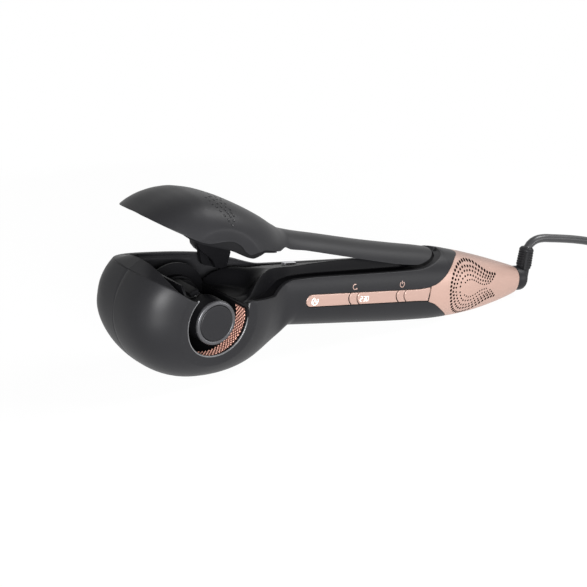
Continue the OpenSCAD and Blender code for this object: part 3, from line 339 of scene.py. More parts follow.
def opened(points):
    """Turns the lid, drawn closed, about its hinge to where it stands open."""
    x, y, z = np.moveaxis(np.asarray(points, float), -1, 0)
    c, s = np.cos(LID_OPEN), np.sin(LID_OPEN)
    x, z = x - HINGE_X, z - HINGE_Z
    return np.stack([HINGE_X + x * c + z * s, y, HINGE_Z + z * c - x * s], -1)


def lie_opened(points):
    return lie(opened(points))


def quads(rows, cols, closed=False):
    """Faces of a grid of points; closed joins the last column to the first."""
    i, j = np.meshgrid(np.arange(rows - 1), np.arange(cols if closed else cols - 1), indexing="ij")
    k = (j + 1) % cols
    return np.stack([i * cols + j, i * cols + k, (i + 1) * cols + k, (i + 1) * cols + j], -1).reshape(-1, 4)


def shell_solid(outer, inner, swell=0.3):
    """Closed wall between two grids of points. The long edges are rounded: half a superellipse from the outer
    to the inner grid, swollen along the wall by swell."""
    turn = np.linspace(0, np.pi, 7)[1:-1]
    across = np.sign(np.cos(turn)) * np.abs(np.cos(turn))**0.6
    along = np.sin(turn)**0.6

    def edge(a, b, before):
        way = a - before
        way = way / np.maximum(np.linalg.norm(way, axis=-1, keepdims=True), 1e-9)
        mid, half = (a + b) / 2, (a - b) / 2
        return mid[:, None] + half[:, None] * across[:, None] + swell * way[:, None] * along[:, None]

    last = edge(outer[:, -1], inner[:, -1], outer[:, -3])
    first = edge(inner[:, 0], outer[:, 0], inner[:, 2])
    loops = np.concatenate([outer, last, inner[:, ::-1], first], 1)
    rows, cols = loops.shape[:2]
    n = outer.shape[1]
    j = np.arange(n - 1)
    other = 2 * n + len(turn) - 1 - j
    cap = np.stack([j, j + 1, other - 1, other], -1)
    ends = [cap, cap + (rows - 1) * cols]
    k = np.arange(len(turn))
    for base in (0, (rows - 1) * cols):
        ends.append(np.stack([base + n - 1 + k, base + n + k, base + n + k,
                              base + n + len(turn) + 0 * k], -1))
        ends.append(np.stack([base + cols - len(turn) - 1 + k, base + (cols - len(turn) + k) % cols,
                              base + (cols - len(turn) + k) % cols, base + 0 * k], -1))
    return loops.reshape(-1, 3), np.concatenate([quads(rows, cols, True)] + ends)


def tube_solid(loops):
    """Closed solid from rows of closed loops; each end is closed by a fan round its middle."""
    rows, cols = loops.shape[:2]
    points = np.concatenate([loops.reshape(-1, 3), [loops[0].mean(0), loops[-1].mean(0)]])
    j = np.arange(cols)
    k = (j + 1) % cols
    first = np.stack([j, k, 0 * j + rows * cols, 0 * j + rows * cols], -1)
    last = np.stack([j + (rows - 1) * cols, k + (rows - 1) * cols] + [0 * j + rows * cols + 1] * 2, -1)
    return points, np.concatenate([quads(rows, cols, True), first, last])


def lathe(profile, axis, at, sides=128):
    """Profile of [radius, distance along the axis] rows, turned about an axis through at."""
    a = round_angles(sides)
    radius, along = np.array(profile, float).T
    circle = radius[:, None, None] * np.stack([np.cos(a), np.sin(a)], -1)
    along = np.broadcast_to(along[:, None, None], circle[..., :1].shape)
    order = {"x": (2, 0, 1), "y": (0, 2, 1), "z": (0, 1, 2)}[axis]
    return tube_solid(np.concatenate([circle, along], -1)[..., order] + np.array(at, float))


def soften(points, radius, steps=5):
    """Rounds the inner corners of a path: each becomes the curve (1-t)^2 a + 2t(1-t) p + t^2 b between the
    points a and b that lie a radius away from corner p, or half the side's length where that is less."""
    p = np.asarray(points, float)
    a, b = p[:-2] - p[1:-1], p[2:] - p[1:-1]
    la, lb = np.linalg.norm(a, axis=1, keepdims=True), np.linalg.norm(b, axis=1, keepdims=True)
    a = p[1:-1] + a / la * np.minimum(radius, la * 0.48)
    b = p[1:-1] + b / lb * np.minimum(radius, lb * 0.48)
    t = np.linspace(0, 1, steps)[None, :, None]
    arc = (1 - t)**2 * a[:, None] + 2 * t * (1 - t) * p[1:-1][:, None] + t**2 * b[:, None]
    return np.concatenate([p[:1], arc.reshape(-1, p.shape[1]), p[-1:]])


def sweep(path, radius, sides=10, up=(0, 0, 1)):
    """Round tube along a path: a circle square to the path's direction at each point."""
    path = np.asarray(path, float)
    way = np.gradient(path, axis=0)
    way /= np.linalg.norm(way, axis=1, keepdims=True)
    side = np.cross(way, up)
    side /= np.linalg.norm(side, axis=1, keepdims=True)
    top = np.cross(side, way)
    a = round_angles(sides)
    ring = np.cos(a)[None, :, None] * side[:, None] + np.sin(a)[None, :, None] * top[:, None]
    radius = np.broadcast_to(radius, len(path))[:, None, None]
    return tube_solid(path[:, None] + radius * ring)


def prism_faces(n):
    """Sides and two whole ends between an outline of n points and its copy."""
    j = np.arange(n)
    k = (j + 1) % n
    return np.stack([j, k, k + n, j + n], -1).tolist() + [list(range(n)), list(range(2 * n - 1, n - 1, -1))]


def prism(outline, y0, y1):
    """Outline of [x, z] points carried across the handle from y0 to y1, its ends left as one face each."""
    outline = np.asarray(outline, float)
    n = len(outline)
    ends = [np.stack([outline[:, 0], np.full(n, y), outline[:, 1]], -1) for y in (y0, y1)]
    return np.concatenate(ends), prism_faces(n)


def put(name, data):
    """New object at the origin, in the scene."""
    obj = bpy.data.objects.new(name, data)
    bpy.context.scene.collection.objects.link(obj)
    return obj


def new_object(name, solids, place=lie, merge=1e-7):
    """One closed mesh from solids of (points in millimetres, faces), put in place in the part's frame."""
    mesh = bpy.data.meshes.new(name)
    points, faces, start = [], [], 0
    for solid_points, solid_faces in solids:
        points.append(place(solid_points) * MM)
        if isinstance(solid_faces, list):
            faces += [[v + start for v in face] for face in solid_faces]
        else:
            faces += (solid_faces + start).tolist()
        start += len(solid_points)
    bm = bmesh.new()
    mesh.from_pydata(np.concatenate(points).tolist(), [], [list(dict.fromkeys(f)) for f in faces])
    bm.from_mesh(mesh)
    bmesh.ops.remove_doubles(bm, verts=bm.verts, dist=merge)
    bmesh.ops.dissolve_degenerate(bm, edges=bm.edges, dist=merge)
    bmesh.ops.recalc_face_normals(bm, faces=bm.faces)
    bm.to_mesh(mesh)
    bm.free()
    return put(name, mesh)


def cut(obj, cutter, operation="DIFFERENCE"):
    """Boolean of obj with cutter, applied to the mesh; the cutter goes."""
    modifier = obj.modifiers.new("cut", "BOOLEAN")
    modifier.object, modifier.operation, modifier.solver = cutter, operation, "MANIFOLD"
    bpy.context.view_layer.update()
    mesh = bpy.data.meshes.new_from_object(obj.evaluated_get(bpy.context.evaluated_depsgraph_get()))
    if not mesh.polygons or len(mesh.polygons) == len(obj.data.polygons):
        raise RuntimeError(obj.name + ": the cut changed nothing")
    obj.modifiers.clear()
    obj.data = mesh
    bpy.data.objects.remove(cutter)


def dress(obj, material, body, nodes=(), angle=32):
    """Smooth shading up to an angle, a finish, the body it rides on and the CAD nodes it stands for."""
    obj.data.shade_smooth()
    obj.data.set_sharp_from_angle(angle=np.radians(angle))
    obj.data.materials.clear()
    obj.data.materials.append(material)
    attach(obj, body)
    if nodes:
        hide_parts(*nodes)
    return obj


def softened_copy(node, width, material, body, segments=2):
    """A CAD node's own shape with its corners rounded off, for mouldings seen only in part."""
    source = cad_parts[node]
    mesh = source.data.copy()
    mesh.transform(source.matrix_world)
    bm = bmesh.new()
    bm.from_mesh(mesh)
    bmesh.ops.remove_doubles(bm, verts=bm.verts, dist=2e-6)
    bmesh.ops.dissolve_limit(bm, angle_limit=np.radians(1), verts=bm.verts, edges=bm.edges)
    bmesh.ops.recalc_face_normals(bm, faces=bm.faces)
    sharp = [e for e in bm.edges if len(e.link_faces) == 2 and e.calc_face_angle() > np.radians(35)]
    bmesh.ops.bevel(bm, geom=sharp, offset=width * MM, segments=segments, profile=0.5, affect="EDGES",
                    clamp_overlap=True)
    bm.to_mesh(mesh)
    bm.free()
    mesh.name = node
    return dress(put(node + "_moulded", mesh), material, body, [node])


def add_solids(obj, solids, place=lie):
    """Adds more closed solids to a finished mesh, where a boolean isn't needed."""
    extra = new_object("extra", solids, place)
    bm = bmesh.new()
    bm.from_mesh(obj.data)
    bm.from_mesh(extra.data)
    bm.to_mesh(obj.data)
    bm.free()
    bpy.data.objects.remove(extra)


def link(tree, source, target):
    tree.links.new(source, target)


def maths(tree, operation, *values):
    """Math node of a node tree on sockets or numbers; gives its output."""
    node = tree.nodes.new("ShaderNodeMath")
    node.operation = operation
    for socket, value in zip(node.inputs, values):
        if isinstance(value, (int, float)):
            socket.default_value = value
        else:
            link(tree, value, socket)
    return node.outputs[0]


def moulded_group():
    """Group for every finish: fine grain and slow clouds of an Object coordinate, as colour, roughness and
    height."""
    name = "moulded_surface"
    if name in bpy.data.node_groups:
        return bpy.data.node_groups[name]
    group = bpy.data.node_groups.new(name, "ShaderNodeTree")
    for label, kind, default in (
        ("Vector", "NodeSocketVector", None), ("Color", "NodeSocketColor", (0.5, 0.5, 0.5, 1)),
        ("Shade", "NodeSocketFloat", 0.2), ("Grain", "NodeSocketFloat", 2000.0),
        ("Cloud", "NodeSocketFloat", 40.0), ("Roughness", "NodeSocketFloat", 0.5),
        ("Spread", "NodeSocketFloat", 0.1),
    ):
        socket = group.interface.new_socket(label, in_out="INPUT", socket_type=kind)
        if default is not None:
            socket.default_value = default
    for label, kind in (("Color", "NodeSocketColor"), ("Roughness", "NodeSocketFloat"),
                        ("Height", "NodeSocketFloat")):
        group.interface.new_socket(label, in_out="OUTPUT", socket_type=kind)
    nodes = group.nodes
    start, end = nodes.new("NodeGroupInput"), nodes.new("NodeGroupOutput")
    grain, cloud = nodes.new("ShaderNodeTexNoise"), nodes.new("ShaderNodeTexNoise")
    grain.inputs["Detail"].default_value = 3
    cloud.inputs["Detail"].default_value = 4
    for noise, size in ((grain, "Grain"), (cloud, "Cloud")):
        link(group, start.outputs["Vector"], noise.inputs["Vector"])
        link(group, start.outputs[size], noise.inputs["Scale"])

    both = maths(group, "ADD", cloud.outputs[0], grain.outputs[0])
    swing = maths(group, "SUBTRACT", both, 1.0)
    level = maths(group, "MULTIPLY_ADD", swing, start.outputs["Shade"], 1.0)
    scale = nodes.new("ShaderNodeVectorMath")
    scale.operation = "SCALE"
    link(group, start.outputs["Color"], scale.inputs[0])
    link(group, level, scale.inputs["Scale"])
    link(group, scale.outputs[0], end.inputs["Color"])
    rough = maths(group, "SUBTRACT", cloud.outputs[0], 0.5)
    rough = maths(group, "MULTIPLY_ADD", rough, start.outputs["Spread"], start.outputs["Roughness"])
    link(group, rough, end.inputs["Roughness"])
    link(group, grain.outputs[0], end.inputs["Height"])
    return group


def finish(name, color, roughness, metallic=0.0, shade=0.2, grain=2200.0, depth=0.02, cloud=40.0, spread=0.12,
           stretch=(1, 1, 1), sockets=(), painted_shade=None):
    """Material on Object coordinates. depth is the bump in millimetres; stretch draws the grain out along an
    axis; sockets sets constants straight on the shader; the last argument is the colour of painted shade,
    mixed in where the mesh's unshaded share attribute falls towards 0."""
    name = "waver_" + name
    if name in bpy.data.materials:
        return bpy.data.materials[name]
    material = bpy.data.materials.new(name)
    material.use_nodes = True
    tree = material.node_tree
    shader = tree.nodes["Principled BSDF"]
    place, mapping = tree.nodes.new("ShaderNodeTexCoord"), tree.nodes.new("ShaderNodeMapping")
    surface, bump = tree.nodes.new("ShaderNodeGroup"), tree.nodes.new("ShaderNodeBump")
    surface.node_tree = moulded_group()
    mapping.inputs["Scale"].default_value = stretch
    for label, value in (("Color", (*color, 1)), ("Shade", shade), ("Grain", grain), ("Cloud", cloud),
                         ("Roughness", roughness), ("Spread", spread)):
        surface.inputs[label].default_value = value
    link(tree, place.outputs["Object"], mapping.inputs["Vector"])
    link(tree, mapping.outputs[0], surface.inputs["Vector"])
    tint = surface.outputs["Color"]
    # Painted shade: the dark colour replaces the material's own where the unshaded share attribute is 0.
    if painted_shade:
        relief, blend = tree.nodes.new("ShaderNodeAttribute"), tree.nodes.new("ShaderNodeMixRGB")
        relief.attribute_name = "relief"
        blend.inputs["Color1"].default_value = (*painted_shade, 1)
        link(tree, relief.outputs["Fac"], blend.inputs["Fac"])
        link(tree, tint, blend.inputs["Color2"])
        tint = blend.outputs[0]
    link(tree, tint, shader.inputs["Base Color"])
    link(tree, surface.outputs["Roughness"], shader.inputs["Roughness"])
    link(tree, surface.outputs["Height"], bump.inputs["Height"])
    link(tree, bump.outputs[0], shader.inputs["Normal"])
    bump.inputs["Distance"].default_value = depth * MM
    bump.inputs["Strength"].default_value = 1.0
    shader.inputs["Metallic"].default_value = metallic
    for label, value in sockets:
        shader.inputs[label].default_value = value
    return material


def soft_touch():
    p = bpy.context.scene.waver_finish
    return finish("soft_touch", p.charcoal, p.charcoal_roughness, shade=0.35, grain=3000, depth=0.02,
                  spread=0.08, sockets=(("Specular IOR Level", 0.14),))


def satin_black():
    return finish("satin_black", bpy.context.scene.waver_finish.black, 0.42, shade=0.3, depth=0.006,
                  sockets=(("Specular IOR Level", 0.06),))


def rose_paint():
    p = bpy.context.scene.waver_finish
    # Painted shade: a near-black colour mixed in inside the vent holes.
    return finish("rose_paint", p.rose, 0.42, metallic=0.25, shade=0.16, grain=5000, depth=0.008, spread=0.05,
                  painted_shade=(0.012, 0.005, 0.004))


def rose_gloss():
    p = bpy.context.scene.waver_finish
    return finish("rose_gloss", p.strip, 0.3, metallic=0.3, shade=0.1, grain=4000, depth=0.004, spread=0.05)


def lattice_copper():
    # Painted shade: a dark copper brown mixed into the knurl's grooves.
    return finish("lattice_copper", (0.9, 0.5, 0.4), 0.36, metallic=0.35, shade=0.3, grain=2500, depth=0.01,
                  painted_shade=(0.05, 0.012, 0.008))


def turned_steel():
    return finish("turned_steel", (0.5, 0.5, 0.52), 0.3, metallic=1.0, shade=0.2, grain=1500, depth=0.004,
                  stretch=(6, 1, 6))


def barrel_coat():
    return finish("barrel_coat", (0.11, 0.11, 0.115), 0.26, metallic=0.6, shade=0.2, grain=1200, depth=0.003,
                  stretch=(4, 1, 4))


def tip_metal():
    return finish("tip_metal", (0.06, 0.06, 0.064), 0.32, metallic=0.5, shade=0.15, grain=3000, depth=0.004,
                  sockets=(("Specular IOR Level", 0.3),))


def painted_edge_highlight():
    # Painted highlight: far lighter and more metallic than the soft-touch paint, for the lit edge of the opening.
    return finish("painted_edge_highlight", (0.1, 0.1, 0.104), 0.36, metallic=0.3, shade=0.15, grain=3000, depth=0.004)


def cord_pvc():
    return finish("cord_pvc", (0.014, 0.014, 0.0155), 0.36, shade=0.3, grain=1500, depth=0.015, spread=0.1)


def white_ink():
    return finish("white_ink", (0.85, 0.84, 0.82), 0.5, shade=0.05, depth=0.002)


def side_rows():
    """Places along the handle: even steps round the nose, close ones over the head, wider ones behind it."""
    return (
        np.linspace(np.radians(0.01), np.pi / 2, 104),
        np.concatenate([np.arange(0.7, 66, 0.7), np.linspace(67, 188, 80)]),
    )


def casing_grid(lip, side, t, cols=72):
    """Skin of one casing, t under its surface, from its lip down to the seam under the handle."""
    turn, rest = side_rows()
    x = np.concatenate([-(HEAD_FRONT - t) * np.cos(turn), rest])
    m = mid_z(x)
    k = np.clip((curve(x, lip) - m) / np.maximum(top_z(x, t) - m, 0.01), 0, 1)
    first = np.arcsin(k**(high_power(x) / 2))
    return shell_point(x[:, None], mix(first[:, None], -np.pi / 2, np.linspace(0, 1, cols)), side, t)


def cover_outline(gap):
    """Region behind the casings' edge in the side view: the edge is a curve of the height on either side of
    the strip, and straight across it."""
    low = np.linspace(-40, 1.7, 60)
    high = np.linspace(10.9, 40, 60)
    edge = np.concatenate([np.stack([curve(low, COVER_LOWER), low], 1),
                           np.stack([curve(high, COVER_UPPER), high], 1)])
    return np.concatenate([edge + [gap, 0], [(260, 40), (260, -40)]])


def mouth_arc(radius):
    a = np.radians(np.linspace(MOUTH_FROM, MOUTH_TO, 120))
    return radius * np.stack([np.cos(a), np.sin(a)], 1) + [MOUTH_X, MOUTH_Z]


def mouth_outline():
    """Side opening: a circle round the barrel's axis, open upwards as the hair slot."""
    return np.concatenate([[(-13.3, 60)], mouth_arc(MOUTH_R), [(19, 60)]])


def sunk_mouth(points):
    return dished(points, MOUTH_R, DISH_R, (MOUTH_X, MOUTH_Z), 0.06)


def mouth_bead():
    """Rounded edge of the opening: a thin round bead along its outline, let into the dished skin."""
    rise = np.stack([np.full(12, 19.3), np.linspace(4.85, 10.3, 12)], 1)
    xz = np.concatenate([mouth_arc(MOUTH_R + 0.3), rise])
    y = side_y(xz[:, 0], xz[:, 1], NEAR)
    path = sunk_mouth(np.stack([xz[:, 0], y, xz[:, 1]], 1)) + [0, 0.42, 0]
    return sweep(path, 0.5, 12, up=(0, 1, 0))


def strip_bounds(z, k0, k1):
    """Front and rear end of a strip piece at height z: a lean plus a parabola that bows the end forwards. The
    first end is round, the last one upright."""
    share = (STRIP_Z + STRIP_HIGH - z) / STRIP_HIGH
    shift = STRIP_LEAN * share + STRIP_BOW * ((2 * share - 1)**2 - 1) + 0.9
    front = STRIP_X[k0] + shift
    rear = STRIP_X[k1] + shift * (0 if k1 == 5 else 1)
    if k0 == 0:
        r = STRIP_HIGH / 2
        across = np.clip((z - STRIP_Z - r) / r, -1, 1)
        front = STRIP_X[0] + r - r * np.sqrt(1 - across**2)
    return front, rear


def strip_panel(k0, k1, gap, raised, depth, edge=0.35, n=(90, 28)):
    """Piece of the strip: a grid on the handle's skin whose edges drop in a quarter circle of radius edge, and
    a back that runs parallel to the handle's side at a depth."""
    u = (1 - np.cos(np.pi * np.linspace(0, 1, n[0]))) / 2
    v = (1 - np.cos(np.pi * np.linspace(0, 1, n[1]))) / 2
    z0 = mix(STRIP_Z, STRIP_Z + STRIP_HIGH, v)[None, :]
    front, rear = strip_bounds(z0, k0, k1)
    x = mix(front + gap, rear - gap, u[:, None])
    flare = np.clip((x - 143) / 11.7, 0, 1)**2
    low, high = STRIP_Z - 0.4 * flare + gap, STRIP_Z + STRIP_HIGH + flare - gap
    z = mix(low, high, v[None, :])
    d = np.minimum(np.minimum(x - front - gap, rear - gap - x), np.minimum(z - low, high - z))
    share = 1 - np.clip(d / max(edge, 1e-6), 0, 1)
    drop = edge * (1 - np.sqrt(1 - share**2)) if edge else 0
    y = side_y(x, z, NEAR) - raised + drop
    back = -half_width(x, NEAR) + depth
    outer = np.stack([x, y, z], -1)
    return shell_solid(outer, np.stack([x, back, z], -1), 0)


def sleeves():
    """Linings of the screw holes in the far casing: rings from the screw's seat out to the skin."""
    rings = []
    for x, z in SCREWS:
        outer = float(side_y(x, z, FAR, 1.2))
        profile = [(2.25, 9.05), (2.25, outer), (3, outer), (3, 9.05), (2.25, 9.05)]
        rings.append(ring_solid(profile, (x, 0, z)))
    return rings


def ring_solid(profile, at, sides=48):
    """Closed profile of [radius, y] rows turned about an axis across the handle."""
    a = round_angles(sides)
    radius, y = np.array(profile[:-1], float).T
    loops = np.stack([
        at[0] + radius[None] * np.cos(a)[:, None], at[1] + y[None] + 0 * a[:, None],
        at[2] + radius[None] * np.sin(a)[:, None],
    ], -1)
    rows, cols = loops.shape[:2]
    i, j = np.meshgrid(np.arange(rows), np.arange(cols), indexing="ij")
    k, m = (i + 1) % rows, (j + 1) % cols
    faces = np.stack([i * cols + j, i * cols + m, k * cols + m, k * cols + j], -1).reshape(-1, 4)
    return loops.reshape(-1, 3), faces


def build_casings():
    near = new_object("near_casing_skin", [shell_solid(
        sunk_mouth(casing_grid(NEAR_LIP, NEAR, 0)), casing_grid(NEAR_LIP, NEAR, WALL))])
    cut(near, new_object("mouth", [prism(mouth_outline(), -60, -18)]))
    cut(near, new_object("recess", [strip_panel(0, 5, 0, 3, STRIP_DEPTH, 0)]))
    cut(near, new_object("behind", [prism(cover_outline(0), -60, 60)]))
    # The bead is the opening's rounded edge; its light, slightly metallic finish is a painted highlight.
    dress(new_object("mouth_highlight_bead", [mouth_bead()]), painted_edge_highlight(), "body", ())
    far = new_object("far_casing_skin", [shell_solid(
        casing_grid(FAR_LIP, FAR, 0), casing_grid(FAR_LIP, FAR, WALL))])
    cut(far, new_object("behind", [prism(cover_outline(0), -60, 60)]))
    a = round_angles(32)
    holes = [prism(np.stack([x + 2.4 * np.cos(a), z + 2.4 * np.sin(a)], 1), 12, 60)
             for x, z in SCREWS]
    cut(far, new_object("screw_holes", holes))
    add_solids(far, sleeves())
    for obj, node in ((near, "near_casing"), (far, "far_casing")):
        flatten(obj)
        dress(obj, soft_touch(), "body", [node])


def flatten(obj):
    """Lifts what would sink under the table up to its plane, as the part's rests are cut flat."""
    co = points_of(obj)
    co[:, 2] = np.maximum(co[:, 2], 0)
    obj.data.vertices.foreach_set("co", co.ravel())


RIM_INNER = (
    (-22.7, -25, 15.6), (-27, -23, 19.8), (-30, -19.5, 23), (-32, -13, 26), (-32.8, -6, 27.4), (-33, 0, 27.7),
    (-32.8, 6, 27.4), (-32, 12.5, 26.4), (-30.4, 17, 25), (-28.4, 20.5, 23.8), (-26.2, 22.6, 22.9),
)
RIM_REACH = (0.57, 0.7, 0.83, 0.92, 0.975, 1, 0.975, 0.92, 0.85, 0.78, 0.71)
RIM_DROP = 1.6


def build_rim():
    """Sloped facet inside the nose: two strips ruled between the casings' lips and the mouth's edge, and a
    chamfer along the far lip behind them."""
    t = 0.35
    nose = -(HEAD_FRONT - t) * np.sqrt(1 - ((curve(-39, NEAR_LIP) + 0.25 - HEAD_MID) / (HEAD_DEEP - t))**2)
    x = nose * np.array(RIM_REACH)
    solids = []
    for side, lip, pick in ((NEAR, NEAR_LIP, slice(0, 6)), (FAR, FAR_LIP, slice(5, 11))):
        xs = x[pick]
        z = curve(xs, lip)
        y = np.where(xs == nose, 0, side_y(xs, z, side, t))
        outer = through(np.stack([xs, y, z + 0.25], 1), 60)
        inner = through(np.array(RIM_INNER)[pick], 60)
        seam = side * 0.06
        outer[:, 1] = np.maximum(outer[:, 1] * side, 0) * side + seam
        inner[:, 1] = np.maximum(inner[:, 1] * side, 0) * side + seam
        v = np.linspace(0, 1, 14)[None, :, None]
        top = mix(outer[:, None], inner[:, None], v)
        solids.append(shell_solid(top, top - [0, 0, RIM_DROP], 0.15))
    x = np.linspace(-26, 15, 60)
    z = curve(x, FAR_LIP)
    y = side_y(x, z, FAR, 0.35)
    edge = np.stack([x, y, z + 0.2], 1)[:, None]
    top = edge - np.array([0, 4, 2.3]) * np.linspace(0, 1, 8)[None, :, None]
    solids.append(shell_solid(top[:, ::-1], top[:, ::-1] - [0, 0, RIM_DROP], 0.15))
    dress(new_object("nose_rim", solids), soft_touch(), "body", ["mouth_rim"])


def deck_height(x, y):
    """Floor along the near lip, run up into a ridge whose top falls to the far side; the scoop for the hair
    is an ellipse pressed into its front corner."""
    w = curve(x, RIDGE_NEAR)
    ridge = mix(curve(x, RIDGE_TOP), curve(x, DECK_FAR), np.clip((y - w) / (16 - w), 0, 1))
    scoop = ease(np.hypot((x - 20) / 28, y / 20), 0.45, 0.95)
    ridge = mix(8.4, ridge, np.where(x > 50, 1, scoop))
    return mix(curve(x, DECK_FLOOR), ridge, ease(y, w - 0.7, w + 0.7))


def build_deck():
    x = np.concatenate([np.arange(19.1, 60, 0.6), np.linspace(60.5, 167.2, 134)])[:, None]
    low = side_y(x, curve(x, DECK_FLOOR), NEAR, WALL) + 0.3
    m = mid_z(x)
    behind = half_width(x, FAR, WALL) * bulge(curve(x, DECK_FAR) - m, top_z(x, WALL) - m, high_power(x)) - 0.3
    high = mix(16.1, behind, ease(x, 43, 50))
    w = np.maximum(curve(x, RIDGE_NEAR), low + 1)
    v = np.linspace(0, 1, 30)[None]
    y = np.concatenate([mix(low, w - 0.7, v[:, :-1]), mix(w - 0.7, w + 0.7, v[:, ::3]),
                        mix(w + 0.7, high, v[:, 1:])], 1)
    top = np.stack([x + 0 * y, y, deck_height(x, y)], -1)
    obj = new_object("deck_moulding", [shell_solid(top, top - [0, 0, 2], 0.2)])
    a = round_angles(48)
    slot = np.stack([68 + np.clip(8 * np.cos(a), -1, 1) * 2.7 + 2 * np.cos(a), 6 + 2 * np.sin(a)], 1)
    slot = [np.concatenate([slot, np.full((48, 1), z)], 1) for z in (10, 40)]
    cut(obj, new_object("pin_slot", [tube_solid(np.array(slot))]))
    dress(obj, satin_black(), "body", ["deck"])


def lid_grid(x, t=0, edges=(NEAR_EDGE, FAR_EDGE), cols=60):
    """Lid drawn closed, t under its surface: each half runs along the section from its edge to the crest."""
    m, power = mid_z(x), high_power(x)
    high = np.maximum(curve(x, NEAR_EDGE), curve(x, FAR_EDGE))
    top = np.maximum(curve(x, LID_CREST) - t, high + (0.05 if t else 0.2))
    halves = []
    for side, rows in zip((NEAR, FAR), edges):
        first = np.arcsin(np.clip((curve(x, rows) - m) / (top - m), 0, 1)**(power / 2))
        b = mix(first[:, None], np.pi / 2, np.linspace(0, 1, cols))
        y = side * lid_width(x, side, t)[:, None] * np.abs(np.cos(b))**(2 / power[:, None])
        z = m[:, None] + (top - m)[:, None] * np.sin(b)**(2 / power[:, None])
        halves.append(np.stack([x[:, None] + 0 * y, y, z], -1))
    return np.concatenate([halves[0], halves[1][:, -2::-1]], 1)


def spheres(centres, radius, sides=10, rows=6):
    """Small closed balls, all in one array."""
    a = round_angles(sides)
    b = np.linspace(0, np.pi, rows)
    ball = np.stack([np.sin(b)[:, None] * np.cos(a), np.sin(b)[:, None] * np.sin(a),
                     np.cos(b)[:, None] + 0 * a], -1) * radius
    return [tube_solid(ball + np.array(c)) for c in centres]


def build_lid():
    x = np.concatenate([LID_TIP + 4.2 * np.linspace(0, 1, 14)**2, np.arange(LID_TIP + 4.7, 60, 0.7),
                        np.linspace(60.5, LID_TAIL, 78)])
    outer = dished(lid_grid(x), LID_ARCH_R, LID_DISH_R)
    shell = new_object("lid_skin", [shell_solid(outer, lid_grid(x, LID_WALL), 0.25)], lie_opened)
    xy = np.array(DIMPLES, float)
    m, power = mid_z(xy[:, 0]), high_power(xy[:, 0])
    z = m + (curve(xy[:, 0], LID_CREST) - m) * bulge(xy[:, 1], lid_width(xy[:, 0], NEAR), power)
    dots = np.column_stack([xy, z])
    away = dots - np.stack([0 * m + 8, 0 * m, m + 4], 1)
    away /= np.linalg.norm(away, axis=1, keepdims=True)
    cut(shell, new_object("dimples", spheres(dots + 0.5 * away, 1.0), lie_opened))
    dress(shell, soft_touch(), "lid", ["lid_shell"])
    x = np.arange(-38, 40.1, 0.9)
    t = LID_WALL + 0.25
    edges = (LINER_NEAR, LINER_FAR)
    liner = new_object("lid_lining", [shell_solid(lid_grid(x, t, edges), lid_grid(x, t + 1.1, edges), 0.3)],
                       lie_opened)
    dress(liner, satin_black(), "lid", ["lid_liner"])


def build_guide():
    guide = softened_copy("hair_guide", 0.5, satin_black(), "lid", 3)
    wing = soften([(9.5, 20), (10, 15.5), (14.3, 9.8), (18.3, 4.6), (20.6, -0.3), (23, -3), (30, -3),
                   (24, 2.4), (18, 20), (9.5, 20)], 1.2)
    add_solids(guide, [prism(wing[:-1], 19.4, 22.2)], lie_opened)


def build_barrel():
    at = (0, 0, 0)
    body = soften([(0, -14.2), (10, -14.2), (10, 15), (0, 15)], 0.4)
    dress(new_object("barrel_sleeve", [lathe(body, "y", at, 160)]), barrel_coat(), "body",
          ["barrel_tube"])
    cap = soften([(0, -26.9), (12, -26.9), (12, -15.2), (11.6, -14), (0, -14)], 0.3)
    dress(new_object("tip_cap", [lathe(cap, "y", at, 160)]), satin_black(), "body",
          ["cool_tip"])
    ring = [(9.85, -27.6), (10.1, -28.15), (10.9, -28.3), (11.7, -28), (12.05, -27.2), (12.05, -26.6),
            (9.85, -26.6), (9.85, -27.6)]
    ring = np.concatenate([soften(ring, 0.25), ring[-1:]])
    dress(new_object("tip_bezel", [ring_solid(ring, at, 160)]), tip_metal(), "body",
          ["tip_ring"])
    disc = soften([(0, -28.35), (6, -28.33), (9.2, -28.2), (9.7, -27.9), (9.7, -26.7), (0, -26.7)], 0.3)
    dress(new_object("tip_face", [lathe(disc, "y", at, 160)]), soft_touch(), "body", ["tip_disc"])


def build_chamber():
    """Chamber's wall: an open outline with a wall, carried across the handle and trimmed to the casing."""
    r, t = 19, 1.4
    a = np.radians(np.linspace(180, 360, 90))
    inner = np.concatenate([[(-r, 19), (-r, 10)], r * np.stack([np.cos(a), np.sin(a)], 1)[:-9]])
    b = np.radians(np.linspace(342, 360 + 22.5, 14))
    inner = np.concatenate([inner, r * np.stack([np.cos(b), np.sin(b)], 1)])
    inner[-1] = (17.55, 8)
    way = np.gradient(inner, axis=0)
    way /= np.linalg.norm(way, axis=1, keepdims=True)
    outer = inner + t * np.stack([way[:, 1], -way[:, 0]], 1)
    y = np.concatenate([np.linspace(-29.4, -20, 8), np.linspace(-18, 16.2, 8)])

    def carried(line):
        return np.stack([line[:, None, 0] + 0 * y, y + 0 * line[:, None, 0], line[:, None, 1] + 0 * y], -1)

    wall = new_object("chamber_wall", [shell_solid(carried(inner), carried(outer), 0)])
    front = [(-25.9, -21), (-28.4, 8), (-25.2, 14.9), (-20, 19.2), (30, 19.2), (30, -23), (-25.9, -23)]
    points = np.array([(x, y0, z0) for x in (-40, 40) for y0, z0 in front], float)
    cut(wall, new_object("reach", [(points, prism_faces(len(front)))]), "INTERSECT")
    back = soften([(13.3, 15), (20.3, 15), (20.3, 16.2), (13.3, 16.2)], 0.1)
    add_solids(wall, [ring_solid([tuple(p) for p in back] + [tuple(back[0])], (0, 0, 0), 96)])
    dress(wall, satin_black(), "body", ["chamber"])


# Stores the unshaded share of each point or face; where it is low, the finish paints shade in its dark colour.
def set_relief(obj, domain, share):
    obj.data.attributes.new("relief", "FLOAT", domain).data.foreach_set("value", share.astype(np.float32))


